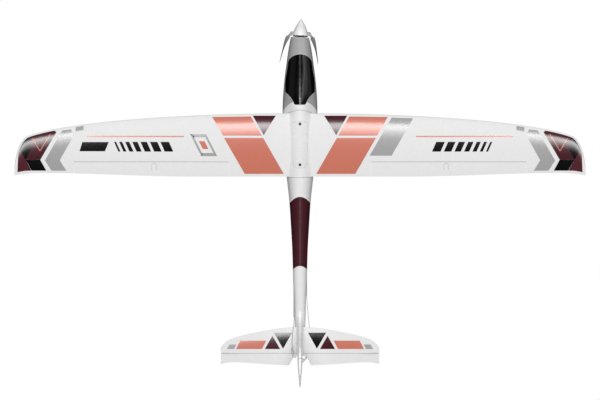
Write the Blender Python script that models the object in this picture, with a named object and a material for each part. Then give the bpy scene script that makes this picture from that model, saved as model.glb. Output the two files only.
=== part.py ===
"""RC foam electric glider with a folding propeller, 1.52 m span.

Run with: blender --background --python part.py
Metres, +Z up, +Y to the nose, +X to the right wing. The origin is on the ground, under the middle
of the aircraft's length. Every piece of the airframe, the drive and the four control linkages is
its own object; a moving piece is parented to an empty on its joint's axis.
"""

import math

import bmesh
import bpy
from mathutils import Matrix, Vector

# ---------------------------------------------------------------- driving dimensions
HALF_SPAN = 0.762
GAP = 0.0003  # clearance between pieces that touch

# wing
ROOT_LE, ROOT_TE = 0.2391, 0.0694
WING_Z = 0.0840  # chord line's height on the centre plane, at the quarter chord
DIHEDRAL = math.radians(4.0)
INCIDENCE = math.radians(2.0)
CAMBER, CAMBER_AT = 0.030, 0.40
ROOT_THICKNESS, TIP_THICKNESS = 0.112, 0.095
TE_EDGE = 0.0016  # thickness of the foam at the trailing edge
TIP_BEND_X, TIP_RISE = 0.680, 0.016
AILERON_IN, AILERON_OUT = 0.190, 0.605
AILERON_HINGE_Y = 0.1082
AILERON_ARM = 0.012
AILERON_LINK_X = 0.391
AILERON_SERVO_Y = 0.1560

# tail
TAIL_HALF_SPAN = 0.2126
TAIL_LE, TAIL_TE = -0.3335, -0.4368
TAIL_Z, TAIL_THICKNESS = 0.0720, 0.075
ELEVATOR_HINGE_Y = -0.4050
ELEVATOR_ARM = 0.011
ELEVATOR_LINK_X = -0.0200
FIN_BASE, FIN_TOP, RUDDER_FOOT = 0.0764, 0.2360, 0.0460
FIN_LE, RUDDER_TE = -0.2920, -0.4940
RUDDER_HINGE_Y = -0.4127
RUDDER_ARM = 0.0175
RUDDER_LINK_Z = 0.0600

HINGE_DEPTH = 0.0010  # a living hinge lies this far under the top surface
BEVEL = math.tan(math.radians(30.0))  # slope of a control surface's nose

# fuselage: (Y, half width, top, bottom); the belly is flattened at the ground plane
STATIONS = [
    (0.4434, 0.0245, 0.0685, 0.0195),
    (0.4180, 0.0298, 0.0760, 0.0105),
    (0.3806, 0.0354, 0.0860, 0.0040),
    (0.3272, 0.0421, 0.1010, -0.0015),
    (0.2738, 0.0462, 0.1110, -0.0025),
    (0.2391, 0.0467, 0.1120, -0.0025),
    (0.1500, 0.0430, 0.1080, -0.0025),
    (0.0654, 0.0354, 0.0985, 0.0010),
    (0.0013, 0.0285, 0.0905, 0.0130),
    (-0.0521, 0.0250, 0.0862, 0.0225),
    (-0.1269, 0.0208, 0.0815, 0.0330),
    (-0.2070, 0.0184, 0.0782, 0.0405),
    (-0.2604, 0.0160, 0.0764, 0.0440),
    (-0.3138, 0.0148, 0.0752, 0.0465),
    (-0.4115, 0.0112, 0.0745, 0.0480),
]
NOSE_Y, TAIL_END_Y = STATIONS[0][0], STATIONS[-1][0]
SQUARENESS = 2.1  # exponent of the superellipse section
WIDEST_AT = 0.47  # share of the height at which the section is widest
HATCH_FRONT, HATCH_REAR = 0.4050, 0.2474
SADDLE_REAR = 0.0660
TAIL_SEAT_FRONT = -0.3329
SHOULDER_DROP = 0.0095  # the shoulders fall to the wing's leading edge

# drive
THRUST_POINT = Vector((0.0010, 0.4482, 0.0440))  # centre of the spinner's base
RIGHT_THRUST, DOWN_THRUST = math.radians(3.0), math.radians(2.0)
SPINNER_RADIUS, SPINNER_LENGTH = 0.0203, 0.0460
SHAFT_RADIUS = 0.0016
PIN_X, PIN_Y, PIN_RADIUS = 0.0246, 0.0058, 0.0014
EYE_RADIUS = 0.0049  # round ends of the yoke, which the blades turn in
BLADE_LENGTH, BLADE_BOW = 0.0845, 0.0056
FOLD_REST = math.radians(18.8)  # a folded blade leans out this far from straight aft

# linkage stock
WIRE_RADIUS = 0.0006
TUBE_OUTER, TUBE_INNER = 0.0021, 0.0017
PLATE = 0.0014  # thickness of horns and servo arms

# cabin
TRAY_TOP, TRAY_THICK = 0.0165, 0.0030

COLOURS = {
    "white_foam": ((0.86, 0.86, 0.86), 0.65, 0.0),
    "grey_foam": ((0.36, 0.36, 0.36), 0.45, 0.0),
    "black_glazing": ((0.01, 0.01, 0.01), 0.12, 0.0),
    "white_plastic": ((0.88, 0.88, 0.88), 0.30, 0.0),
    "grey_plastic": ((0.30, 0.30, 0.30), 0.45, 0.0),
    "black_plastic": ((0.03, 0.03, 0.03), 0.50, 0.0),
    "blue_servo": ((0.03, 0.10, 0.35), 0.35, 0.0),
    "battery_wrap": ((0.45, 0.12, 0.05), 0.40, 0.0),
    "strap_fabric": ((0.02, 0.02, 0.02), 0.90, 0.0),
    "plywood": ((0.60, 0.42, 0.24), 0.70, 0.0),
    "carbon": ((0.02, 0.02, 0.02), 0.30, 0.0),
    "steel": ((0.62, 0.62, 0.62), 0.30, 1.0),
    "aluminium": ((0.75, 0.75, 0.76), 0.35, 1.0),
    "copper": ((0.70, 0.32, 0.12), 0.40, 1.0),
}


# ---------------------------------------------------------------- small maths
def smooth(t):
    t = min(max(t, 0.0), 1.0)
    return t * t * (3.0 - 2.0 * t)


def spread(first, last, steps):
    return [first + (last - first) * i / steps for i in range(steps + 1)]


def along(table, y, column):
    """Value of a station table's column at y: a cubic through the stations, which run aft."""
    y = min(max(y, table[-1][0]), table[0][0])
    i = next(k for k in range(len(table) - 1) if table[k + 1][0] <= y)

    def slope(k):
        a, b = max(k - 1, 0), min(k + 1, len(table) - 1)
        return (table[b][column] - table[a][column]) / (table[b][0] - table[a][0])

    (y0, v0), (y1, v1) = [(table[k][0], table[k][column]) for k in (i, i + 1)]
    h = y1 - y0
    t = (y - y0) / h
    first = (1 + 2 * t) * (1 - t) ** 2 * v0 + t * (1 - t) ** 2 * h * slope(i)
    return first + t * t * (3 - 2 * t) * v1 + t * t * (t - 1) * h * slope(i + 1)


def cosine_steps(n):
    return [0.5 - 0.5 * math.cos(math.pi * i / n) for i in range(n + 1)]


def circle(radius, n, centre=(0.0, 0.0), start=0.0, turn=2 * math.pi):
    """Points on a circle, or on an arc when turn is under a full circle."""
    steps = n if turn >= 2 * math.pi else n - 1
    angles = [start + turn * i / steps for i in range(n)]
    return [(centre[0] + radius * math.cos(a), centre[1] + radius * math.sin(a)) for a in angles]


# ---------------------------------------------------------------- surfaces of the aircraft
def leading_edge(x):
    x = min(abs(x), HALF_SPAN)
    ellipse = 0.0881 * (1 - math.sqrt(1 - (x / 0.764) ** 2))
    tip = max(0.0, (x - 0.7265) / 0.0361)
    return ROOT_LE - ellipse - 0.080 * (1 - math.sqrt(max(0.0, 1 - tip**2)))


def trailing_edge(x):
    x = abs(x)
    return ROOT_TE + 0.0094 * smooth((x - 0.294) / 0.387) - 0.0064 * max(0.0, (x - 0.70) / 0.062) ** 2


def half_thickness(c, ratio, edge):
    """Half the thickness of a closed four-digit section at chord share c, plus a blunt edge."""
    c = min(max(c, 0.0), 1.0)
    root = 0.2969 * math.sqrt(c) - 0.1260 * c - 0.3516 * c**2 + 0.2843 * c**3 - 0.1036 * c**4
    return 5 * ratio * root + 0.5 * edge * c


def wing_height(x, y, side):
    """Height of the wing's upper (side = 1) or lower (side = -1) surface."""
    x = abs(x)
    chord = leading_edge(x) - trailing_edge(x)
    c = min(max((leading_edge(x) - y) / chord, 0.0), 1.0)
    if c < CAMBER_AT:
        line = CAMBER / CAMBER_AT**2 * (2 * CAMBER_AT * c - c**2)
    else:
        line = CAMBER / (1 - CAMBER_AT) ** 2 * (1 - 2 * CAMBER_AT + 2 * CAMBER_AT * c - c**2)
    ratio = ROOT_THICKNESS + (TIP_THICKNESS - ROOT_THICKNESS) * x / HALF_SPAN
    quarter = ROOT_LE - 0.25 * (ROOT_LE - ROOT_TE)
    lift = x * math.tan(DIHEDRAL) + TIP_RISE * max(0.0, (x - TIP_BEND_X) / (HALF_SPAN - TIP_BEND_X)) ** 2
    base = WING_Z + lift + (y - quarter) * math.tan(INCIDENCE)
    return base + chord * (line + side * half_thickness(c, ratio, TE_EDGE / chord))


def tail_leading_edge(x):
    x = min(abs(x), TAIL_HALF_SPAN)
    flat = 0.0046 * math.sin(math.pi * min(x / 0.190, 1.0) ** 1.5)
    return TAIL_LE - flat - 0.0640 * (1 - math.sqrt(1 - (x / 0.2136) ** 2))


def tail_trailing_edge(x):
    x = abs(x)
    return TAIL_TE + 0.0077 * smooth((x - 0.030) / 0.150) - 0.0053 * max(0.0, (x - 0.185) / 0.0275) ** 2


def tail_height(x, y, side):
    le, te = tail_leading_edge(x), tail_trailing_edge(x)
    chord = le - te
    return TAIL_Z + side * chord * half_thickness((le - y) / chord, TAIL_THICKNESS, TE_EDGE / chord)


def fin_section(z):
    """(leading edge, trailing edge, thickness) of the fin and rudder at height z."""
    rise = min(max((z - FIN_BASE) / (FIN_TOP - FIN_BASE), 0.0), 1.0)
    le = FIN_LE - 0.095 * rise**0.55
    te = RUDDER_TE + 0.020 * max(0.0, (z - 0.100) / 0.136) ** 2 + 0.026 * max(0.0, (0.076 - z) / 0.030) ** 2
    cap = max(0.0, (rise - 0.88) / 0.12) ** 2
    return le - 0.012 * cap, te + 0.016 * cap, 0.0175 - 0.0085 * rise - 0.004 * cap


def hull_point(y, phi, inset=0.0):
    """Point of the fuselage's section at station y, phi round from the top, inset into the foam."""
    width, top, bottom = (along(STATIONS, y, k) for k in (1, 2, 3))
    middle = bottom + WIDEST_AT * (top - bottom)
    width, top, bottom = width - inset, top - inset, bottom + inset
    power = 2.0 / SQUARENESS
    x = width * abs(math.sin(phi)) ** power * (1 if math.sin(phi) >= 0 else -1)
    reach = abs(math.cos(phi)) ** power
    if math.cos(phi) < 0:
        return Vector((x, y, max(middle - (middle - bottom) * reach, 0.0)))
    share = abs(x) / width
    fall = SHOULDER_DROP * smooth((0.290 - y) / 0.043) * smooth((y - 0.150) / 0.060)
    return Vector((x, y, middle + (top - middle) * reach - fall * math.sin(math.pi * share**2)))


def angle_at_height(y, z):
    """Angle phi at which the upper half of the section passes height z."""
    low, high = 0.0, math.pi / 2
    for _ in range(40):
        mid = (low + high) / 2
        if hull_point(y, mid).z > z:
            low = mid
        else:
            high = mid
    return low


def parting_height(y):
    """Height of the joint line under the hatch and the wing, along the boom and under the tail."""
    under_wing = wing_height(0.034, min(y, ROOT_LE), -1) - 0.0006
    if y > HATCH_REAR:
        share = (HATCH_FRONT - y) / (HATCH_FRONT - HATCH_REAR)
        return 0.0520 + (under_wing - 0.0520) * max(share, 0.0) ** 2.2
    if y > SADDLE_REAR:
        return under_wing
    if y > -0.3970:
        return 0.0676
    return 0.0635


def wall(y):
    return 0.0040 + 0.0020 * smooth((y + 0.05) / 0.12)


def front_arch(x, y):
    """Y of a point near the hatch's rear edge, which curves back to the wing's leading edge."""
    drop = 0.0080 * math.sin(math.pi / 2 * min(abs(x) / 0.042, 1.0)) ** 2
    return y - drop * smooth(1 - abs(y - HATCH_REAR) / 0.018)


def rear_arch(x, y):
    """Y of a point near the rear of the wing's fairing, which bulges aft in the middle."""
    return y + 0.0028 * (x / 0.0354) ** 2 * smooth(1 - abs(y - SADDLE_REAR) / 0.018)


# ---------------------------------------------------------------- building blocks
def material(name):
    found = bpy.data.materials.get(name)
    if found:
        return found
    colour, roughness, metallic = COLOURS[name]
    made = bpy.data.materials.new(name)
    made.use_nodes = True
    shader = made.node_tree.nodes["Principled BSDF"]
    shader.inputs["Base Color"].default_value = (*colour, 1.0)
    shader.inputs["Roughness"].default_value = roughness
    shader.inputs["Metallic"].default_value = metallic
    made.diffuse_color = (*colour, 1.0)
    return made


def solid(name, points, faces, colour=None, place=None, parent=None):
    """A mesh object with its normals out. With no colour it is a tool, which isn't rendered."""
    mesh = bpy.data.meshes.new(name)
    mesh.from_pydata([tuple(p) for p in points], [], faces)
    work = bmesh.new()
    work.from_mesh(mesh)
    bmesh.ops.remove_doubles(work, verts=work.verts, dist=1e-6)
    bmesh.ops.dissolve_degenerate(work, edges=work.edges, dist=1e-7)
    bmesh.ops.recalc_face_normals(work, faces=work.faces)
    bmesh.ops.connect_verts_nonplanar(work, angle_limit=math.radians(0.05), faces=work.faces)
    work.to_mesh(mesh)
    work.free()
    item = bpy.data.objects.new(name, mesh)
    bpy.context.scene.collection.objects.link(item)
    if colour:
        mesh.materials.append(material(colour))
        mesh.shade_smooth()
        mesh.set_sharp_from_angle(angle=math.radians(32))
    else:
        item.hide_render = True
        item.display_type = "WIRE"
    if place is not None:
        item.matrix_world = place
    if parent is not None:
        item.parent = parent
        item.matrix_parent_inverse = parent.matrix_world.inverted()
    return item


def boolean(item, tool, operation):
    step = item.modifiers.new(operation.title(), "BOOLEAN")
    step.operation, step.object, step.solver = operation, tool, "EXACT"
    return item


def cut(item, *tools):
    for tool in tools:
        boolean(item, tool, "DIFFERENCE")
    return item


def add(item, *tools):
    for tool in tools:
        boolean(item, tool, "UNION")
    return item


def loft(loops):
    """Points and faces of a closed body through equal loops, capped at both ends."""
    n = len(loops[0])
    points = [p for loop in loops for p in loop]
    faces = [tuple(range(n)), tuple(range(len(points) - n, len(points)))]
    for k in range(len(loops) - 1):
        for i in range(n):
            j = (i + 1) % n
            faces.append((k * n + i, k * n + j, (k + 1) * n + j, (k + 1) * n + i))
    return points, faces


def prism(outline, axis, low, high):
    """An outline in the plane across axis, run from low to high along it."""
    def point(a, b, h):
        return {"X": (h, a, b), "Y": (a, h, b), "Z": (a, b, h)}[axis]

    return loft([[point(a, b, h) for a, b in outline] for h in (low, high)])


def box(low, high):
    outline = [(low[0], low[1]), (high[0], low[1]), (high[0], high[1]), (low[0], high[1])]
    return prism(outline, "Z", low[2], high[2])


def cylinder(radius, axis, low, high, centre=(0.0, 0.0), sides=16):
    return prism(circle(radius, sides, centre, math.pi / sides), axis, low, high)


def turned(profile, sides=20):
    """Revolves a closed (radius, Y) profile about the Y axis."""
    points, faces = [], []
    for k in range(sides):
        a = 2 * math.pi * k / sides
        points += [(r * math.cos(a), y, r * math.sin(a)) for r, y in profile]
    n = len(profile)
    for k in range(sides):
        base, other = k * n, (k + 1) % sides * n
        for i in range(n):
            j = (i + 1) % n
            if profile[i][0] > 1e-9 or profile[j][0] > 1e-9:
                faces.append((base + i, base + j, other + j, other + i))
    return points, faces


def shell(outer, inner, keep):
    """A skin between two equal grids of points; keep(i, j) says which cells it has."""
    rows, columns = len(outer), len(outer[0])
    points = [p for grid in (outer, inner) for row in grid for p in row]
    half = rows * columns
    faces = []

    def kept(i, j):
        return 0 <= i < rows - 1 and 0 <= j < columns - 1 and keep(i, j)

    for i in range(rows - 1):
        for j in range(columns - 1):
            if not kept(i, j):
                continue
            corner = i * columns + j
            ring = (corner, corner + 1, corner + columns + 1, corner + columns)
            faces += [ring, tuple(half + k for k in reversed(ring))]
            sides = (((i - 1, j), 0, 1), ((i, j + 1), 1, 2), ((i + 1, j), 2, 3), ((i, j - 1), 3, 0))
            for beside, a, b in sides:
                if not kept(*beside):
                    faces.append((ring[b], ring[a], half + ring[a], half + ring[b]))
    return points, faces


def strip(ys, half_width, top, bottom, columns=6, centre=0.0, arch=None):
    """A body between two heights over a strip, centre +- half_width(y) wide; arch(x, y) bends its rows."""
    def grid(height):
        rows = []
        for y in ys:
            row = []
            for share in spread(-1.0, 1.0, columns):
                here = arch(half_width(y) * share, y) if arch else y
                x = centre + half_width(here) * share
                row.append((x, here, height(x, here)))
            rows.append(row)
        return rows

    return shell(grid(top), grid(bottom), lambda i, j: True)


def tube_curve(name, points, radius, colour, bore=0.0, sides=2):
    """A round wire along points, or with a bore a pipe cut through by a slightly longer wire."""
    data = bpy.data.curves.new(name, "CURVE")
    data.dimensions = "3D"
    data.bevel_depth, data.bevel_resolution, data.use_fill_caps = radius, sides, True
    line = data.splines.new("POLY")
    line.points.add(len(points) - 1)
    for spot, p in zip(line.points, points):
        spot.co = (*p, 1.0)
    made = bpy.data.objects.new(name, data)
    bpy.context.scene.collection.objects.link(made)
    mesh = bpy.data.meshes.new_from_object(made.evaluated_get(bpy.context.evaluated_depsgraph_get()))
    bpy.data.objects.remove(made)
    item = solid(name, [v.co for v in mesh.vertices], [tuple(f.vertices) for f in mesh.polygons], colour)
    bpy.data.meshes.remove(mesh)
    if bore:
        start, end = Vector(points[0]), Vector(points[-1])
        reach = 0.001 * (end - start).normalized()
        cut(item, tube_curve(name + "_bore", [start - reach, end + reach], bore, None, sides=sides))
    return item


def frame_at(origin, x_axis, z_axis):
    """Matrix with its X along x_axis and its Z along z_axis, which are square to each other."""
    x, z = Vector(x_axis).normalized(), Vector(z_axis).normalized()
    y = z.cross(x)
    turn = Matrix((x, y, z)).transposed().to_4x4()
    return Matrix.Translation(Vector(origin)) @ turn


def empty(name, place, parent=None):
    item = bpy.data.objects.new(name, None)
    bpy.context.scene.collection.objects.link(item)
    item.matrix_world = place
    if parent is not None:
        item.parent = parent
        item.matrix_parent_inverse = parent.matrix_world.inverted()
    bpy.context.view_layer.update()
    return item


# ---------------------------------------------------------------- fuselage
def shell_rows():
    """Stations of the fuselage grids: closer at the nose, the openings' ends and the tail."""
    nose = [NOSE_Y, 0.4310, 0.4180, HATCH_FRONT, 0.3806, 0.3540, 0.3272, 0.3000, 0.2738, 0.2640]
    middle = [0.2590, 0.2550, 0.2510, HATCH_REAR, 0.2440, ROOT_LE, 0.2349, 0.2229]
    middle += [0.2040, 0.1750, 0.1450, 0.1150, 0.0850, SADDLE_REAR]
    boom = [0.0330, 0.0013, -0.0521, -0.1000, -0.1500, -0.2070, -0.2604, -0.3000]
    return nose + middle + boom + [TAIL_SEAT_FRONT, -0.3650, -0.3965, -0.3975, TAIL_END_Y]


UPPER_CELLS, LOWER_CELLS = 3, 7  # steps of a half section above and below the parting line


def section_angles(y):
    split = angle_at_height(y, parting_height(y))
    return spread(0.0, split, UPPER_CELLS)[:-1] + spread(split, math.pi, LOWER_CELLS)


def square_to_thrust(x, y, z):
    """Leans the sections nearest the nose, so that its front face is square to the thrust line."""
    lean = z * math.tan(DOWN_THRUST) - x * math.tan(RIGHT_THRUST) - THRUST_POINT.z * math.tan(DOWN_THRUST)
    return (x, y + lean * smooth((y - 0.4180) / (NOSE_Y - 0.4180)), z)


def fuselage_half(side):
    rows = shell_rows()

    def grid(depth):
        made = []
        for y in rows:
            row = []
            for a in section_angles(y):
                inset = depth * wall(y)
                p = hull_point(rear_arch(hull_point(y, a, inset).x, y), a, inset)
                row.append(square_to_thrust(side * (p.x + GAP / 2), p.y, p.z))
            made.append(row)
        return made

    def keep(i, j):
        is_open = SADDLE_REAR <= rows[i + 1] and rows[i] <= HATCH_FRONT or rows[i] <= TAIL_SEAT_FRONT
        return j >= UPPER_CELLS or not is_open

    name = "fuselage_left_shell" if side < 0 else "fuselage_right_shell"
    return solid(name, *shell(grid(0.0), grid(1.0), keep), "white_foam")


def hatch_reach(y):
    """Angle from the top down to the hatch's lower edge."""
    return angle_at_height(y, parting_height(y) + 0.0009)


def canopy_hatch():
    between = [y for y in shell_rows() if HATCH_REAR < y < HATCH_FRONT]
    rows = [HATCH_FRONT - GAP, *between, HATCH_REAR + GAP]

    def grid(depth):
        made = []
        for y in rows:
            row = []
            for share in spread(-1.0, 1.0, 12):
                inset = depth * wall(y)
                here = front_arch(hull_point(y, share * hatch_reach(y), inset).x, y)
                row.append(hull_point(here, share * hatch_reach(here), inset))
            made.append(row)
        return made

    return solid("canopy_hatch", *shell(grid(0.0), grid(1.0), lambda i, j: True), "grey_foam")


def glazing_half_width(y):
    """Half width of the black canopy: a round front, nearly straight sides and a tapered tail."""
    front = min(1.0, (0.3970 - y) / 0.030)
    body = 0.0325 + 0.0068 * smooth((0.375 - y) / 0.060)
    half = body * math.sqrt(max(0.0, 1 - (1 - front) ** 2.4))
    tail = min(max((0.2975 - y) / 0.0355, 0.0), 1.0)
    eased = tail**2 / 0.10 if tail < 0.05 else tail - 0.025
    return 0.0160 + (half - 0.0160) * (1 - eased / 0.975) ** 1.8


def canopy_glazing(hatch):
    """The black canopy, in a recess of the hatch that is wider than it by the fit's clearance."""
    ys = [0.3968, 0.3950, 0.3910, 0.3840, 0.3740, 0.3600, 0.3330, 0.3050]
    ys += [0.2960, 0.2930, 0.2895, 0.2860, 0.2820, 0.2780, 0.2730, 0.2680, 0.2620]

    def grid(lift, margin):
        made = []
        for y in ys:
            half, width = glazing_half_width(y) + margin, along(STATIONS, y, 1)
            reach = math.asin(min(0.985, half / width) ** (SQUARENESS / 2))
            row = [hull_point(y, a, -lift) for a in spread(-reach, reach, 8)]
            end = (y == ys[0]) - (y == ys[-1])
            made.append([p + Vector((0, end * margin, 0)) for p in row])
        return made

    glazing = shell(grid(0.0006, 0.0), grid(-0.0012, 0.0), lambda i, j: True)
    recess = shell(grid(0.0100, 0.0004), grid(-0.0018, 0.0004), lambda i, j: True)
    cut(hatch, solid("canopy_recess", *recess))
    return solid("canopy_glazing", *glazing, "black_glazing")


def fairing_half_width(y):
    """Half width of the centre fairing: waisted at mid chord, as the wing is thickest there."""
    t = (HATCH_REAR - y) / (HATCH_REAR - SADDLE_REAR)
    return 0.0250 + 0.0054 * abs(2 * t - 1) ** 2.2 + 0.0035 * smooth((y - 0.2360) / 0.0060)


def fairing_top(x, y):
    crown = along(STATIONS, y, 2)
    edge = wing_height(x, y, 1) + 0.0010
    share = min(abs(x) / fairing_half_width(y), 1.0)
    return edge + (crown - edge) * (1 - share**2) ** 1.1


def fairing_arch(x, y):
    return front_arch(x, rear_arch(x, y))


def centre_fairing():
    """The raised middle of the wing, its clamp plate and the two screws through them."""
    nose = [HATCH_REAR - GAP, 0.2445, 0.2420, 0.2400, 0.2385, 0.2370, 0.2350, 0.2330, 0.2300, 0.2250]
    ys = nose + spread(0.2180, SADDLE_REAR + 2 * GAP, 8)
    fairing = strip(
        ys, fairing_half_width, fairing_top, lambda x, y: wing_height(x, y, 1) + 0.0009, 12,
        arch=fairing_arch,
    )
    item = solid("wing_centre_fairing", *fairing, "white_foam")

    plate_front, plate_rear, corner = 0.2166, 0.0930, 0.0085

    def plate_half(y, grow=0.0):
        half = 0.0172 + 0.0046 * (y - plate_rear) / (plate_front - plate_rear)
        rise = max(corner - (plate_front + grow - y), corner - (y - plate_rear + grow), 0.0)
        return half + grow - corner + math.sqrt(max(corner**2 - rise**2, 0.0))

    def plate_rows(grow):
        ends = [0.0, 0.0010, 0.0040, corner]
        front = [plate_front + grow - e for e in ends]
        rear = [plate_rear - grow + e for e in reversed(ends)]
        return front + spread(front[-1], rear[0], 5)[1:-1] + rear

    recess = strip(
        plate_rows(0.0004), lambda y: plate_half(y, 0.0004),
        lambda x, y: 0.130, lambda x, y: fairing_top(x, y) - 0.0016,
    )
    cut(item, solid("clamp_plate_recess", *recess))
    plate = strip(
        plate_rows(0.0), plate_half,
        lambda x, y: fairing_top(x, y) + 0.0001, lambda x, y: fairing_top(x, y) - 0.0012,
    )
    clamp = solid("wing_clamp_plate", *plate, "white_plastic")
    return item, clamp


WING_SCREWS = {"front": 0.2102, "rear": 0.1012}
SEAT_TOP, SEAT_BOTTOM = 0.0762, 0.0716


def wing_screws(bored):
    """Both wing screws, and their clearance holes through the pieces that they hold."""
    for where, y in WING_SCREWS.items():
        hole = solid(f"wing_screw_{where}_hole", *cylinder(0.0024, "Z", 0.060, 0.130, (0.0, y), 12))
        for item in bored:
            cut(item, hole)
        top = fairing_top(0.0, y) + 0.0001
        name = f"wing_screw_{where}"
        screw = solid(name, *cylinder(0.0019, "Z", 0.0685, top + 0.0012, (0.0, y), 12), "steel")
        add(screw, solid(name + "_head", *cylinder(0.0036, "Z", top + 0.0007, top + 0.0025, (0.0, y), 18)))
        cut(screw, solid(name + "_socket", *cylinder(0.0014, "Z", top + 0.0014, top + 0.004, (0.0, y), 6)))


def wing_seat(where, y):
    """A plywood seat across the fuselage under the wing, with a captive nut below it."""
    half = 0.0305 if where == "front" else 0.0255
    name = f"wing_seat_{where}"
    seat = solid(name, *box((-half, y - 0.013, SEAT_BOTTOM), (half, y + 0.013, SEAT_TOP)), "plywood")
    nut = cylinder(0.0040, "Z", SEAT_BOTTOM - 0.0030, SEAT_BOTTOM + 0.0010, (0.0, y), 6)
    return add(seat, solid(name + "_nut", *nut))


# ---------------------------------------------------------------- wing
def wing_solid(name, side, colour=None):
    """One solid wing half with its aileron still in place."""
    xs = [GAP, 0.110, 0.220, 0.320, 0.410, 0.500, 0.580, 0.650, 0.700, 0.7265, 0.743, 0.754, 0.760]
    xs.append(HALF_SPAN)
    loops = []
    for x in xs:
        le, te = leading_edge(x), trailing_edge(x)
        ys = [le - (le - te) * c for c in cosine_steps(10)]
        upper = [(side * x, y, wing_height(x, y, 1)) for y in reversed(ys)]
        lower = [(side * x, y, wing_height(x, y, -1)) for y in ys[1:]]
        loops.append(upper + lower)
    return solid(name, *loft(loops), colour)


def aileron_hinge(side):
    """(inner end, outer end) of the hinge line, just under the wing's upper surface."""
    ends = []
    for x in (AILERON_IN, AILERON_OUT):
        ends.append(Vector((side * x, AILERON_HINGE_Y, wing_height(x, AILERON_HINGE_Y, 1) - HINGE_DEPTH)))
    return ends


def hinge_block(name, outline, ends, low, high):
    """A block that runs along a hinge line: outline is (Y, Z) from the line, low and high are in X."""
    start, end = ends
    slope = (end.z - start.z) / (end.x - start.x)
    loops = []
    for x in (low, high):
        z = start.z + (x - start.x) * slope
        loops.append([(x, start.y + a, z + b) for a, b in outline])
    return solid(name, *loft(loops))


def bay_outline():
    """Space cleared for a control surface: a shallow groove above the hinge, a flat wall below."""
    return [(-0.09, -0.03), (GAP, -0.03), (GAP, -0.0002), (0.03, 0.03), (-0.09, 0.03)]


def surface_outline():
    """A control surface's own side of the hinge: a groove above, a bevel for the throw below."""
    low = -0.03
    return [(-0.09, low), (low * BEVEL - GAP, low), (-GAP, -0.0002), (-0.03, 0.03), (-0.09, 0.03)]


def wing_half(side):
    name = "left" if side < 0 else "right"
    wing = wing_solid(f"wing_{name}_panel", side, "white_foam")
    ends = aileron_hinge(side)
    low, high = sorted((side * AILERON_IN, side * AILERON_OUT))
    cut(wing, hinge_block(f"{name}_aileron_bay", bay_outline(), ends, low, high))
    aileron = wing_solid(f"{name}_aileron", side, "white_foam")
    block = hinge_block(f"{name}_aileron_block", surface_outline(), ends, low + 0.0010, high - 0.0010)
    boolean(aileron, block, "INTERSECT")
    return wing, aileron


def joiner_path(extra=0.0):
    """Centre line of the V-shaped joiner rod, inside both wing halves at their thickest part."""
    y, reach = 0.1800, 0.260 + extra
    middle = (wing_height(0.0, y, 1) + wing_height(0.0, y, -1)) / 2
    rise = math.tan(DIHEDRAL)
    return [(x, y, middle + abs(x) * rise) for x in (-reach, 0.0, reach)]


# ---------------------------------------------------------------- linkages
def servo(name, place):
    """A 9 g servo; place has its Z along the output shaft, which ends at the arm's plane."""
    item = solid(name, *box((-0.0060, -0.0061, -0.0290), (0.0168, 0.0061, -0.0065)), "blue_servo", place)
    parts = {
        "lugs": box((-0.0105, -0.0059, -0.0130), (0.0213, 0.0059, -0.0110)),
        "boss": cylinder(0.0057, "Z", -0.0070, -0.0028, sides=14),
        "spline": cylinder(0.0023, "Z", -0.0040, 0.0011, sides=8),
    }
    for label, shape in parts.items():
        add(item, solid(f"{name}_{label}", *shape, place=place))
    return item


def servo_arm(name, place, reach, parent):
    """A servo arm; place has its Z along the shaft and its X along the arm."""
    outline = circle(0.0036, 8, (0.0, 0.0), math.radians(80), math.radians(200))
    outline += circle(0.0021, 6, (reach, 0.0), math.radians(-85), math.radians(170))
    arm = solid(name, *prism(outline, "Z", -PLATE / 2, PLATE / 2), "white_plastic", place, parent)
    add(arm, solid(name + "_hub", *cylinder(0.0034, "Z", -0.0018, 0.0014, sides=12), place=place))
    cut(arm, solid(name + "_spline_hole", *cylinder(0.0026, "Z", -0.003, 0.003, sides=8), place=place))
    cut(arm, solid(name + "_end_hole", *cylinder(0.0011, "Z", -0.003, 0.003, (reach, 0.0), 8), place=place))
    return arm


def clevis(name, place, parent):
    """A snap clevis; place has its X along the pin and its Y towards the pushrod."""
    body = box((-0.0024, 0.0052, -0.0021), (0.0024, 0.0160, 0.0021))
    item = solid(name, *body, "black_plastic", place, parent)
    for label, low, high in (("left", -0.0024, -0.0012), ("right", 0.0012, 0.0024)):
        tine = box((low, -0.0022, -0.0018), (high, 0.0062, 0.0018))
        add(item, solid(f"{name}_{label}_tine", *tine, place=place))
    add(item, solid(name + "_pin", *cylinder(0.0007, "X", -0.0018, 0.0018, sides=8), place=place))
    cut(item, solid(name + "_socket", *cylinder(0.0011, "Y", 0.0080, 0.0200, sides=8), place=place))
    return item


def rod_wire(name, hole, across, route, parent):
    """A pushrod wire: a short leg through the servo arm's hole, along route, into its clevis."""
    hole, across = Vector(hole), Vector(across).normalized()
    beside = hole + 0.0028 * across
    ahead = (Vector(route[0]) - beside).normalized()
    corner = [beside - 0.0008 * across, beside + 0.0003 * (ahead - across), beside + 0.0010 * ahead]
    points = [hole - 0.0020 * across, *corner, *[Vector(p) for p in route]]
    wire = tube_curve(name, points, WIRE_RADIUS, "steel")
    wire.parent = parent
    wire.matrix_parent_inverse = parent.matrix_world.inverted()
    return wire


def horn_ear(name, outline, hole, axis, at, colour=None):
    """An ear plate across axis, centred on at, with the clevis pin's hole bored in it."""
    ear = solid(name, *prism(outline, axis, at - PLATE / 2, at + PLATE / 2), colour)
    return ear, solid(name + "_hole", *cylinder(0.0011, axis, at - 0.004, at + 0.004, hole, 8))


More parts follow.
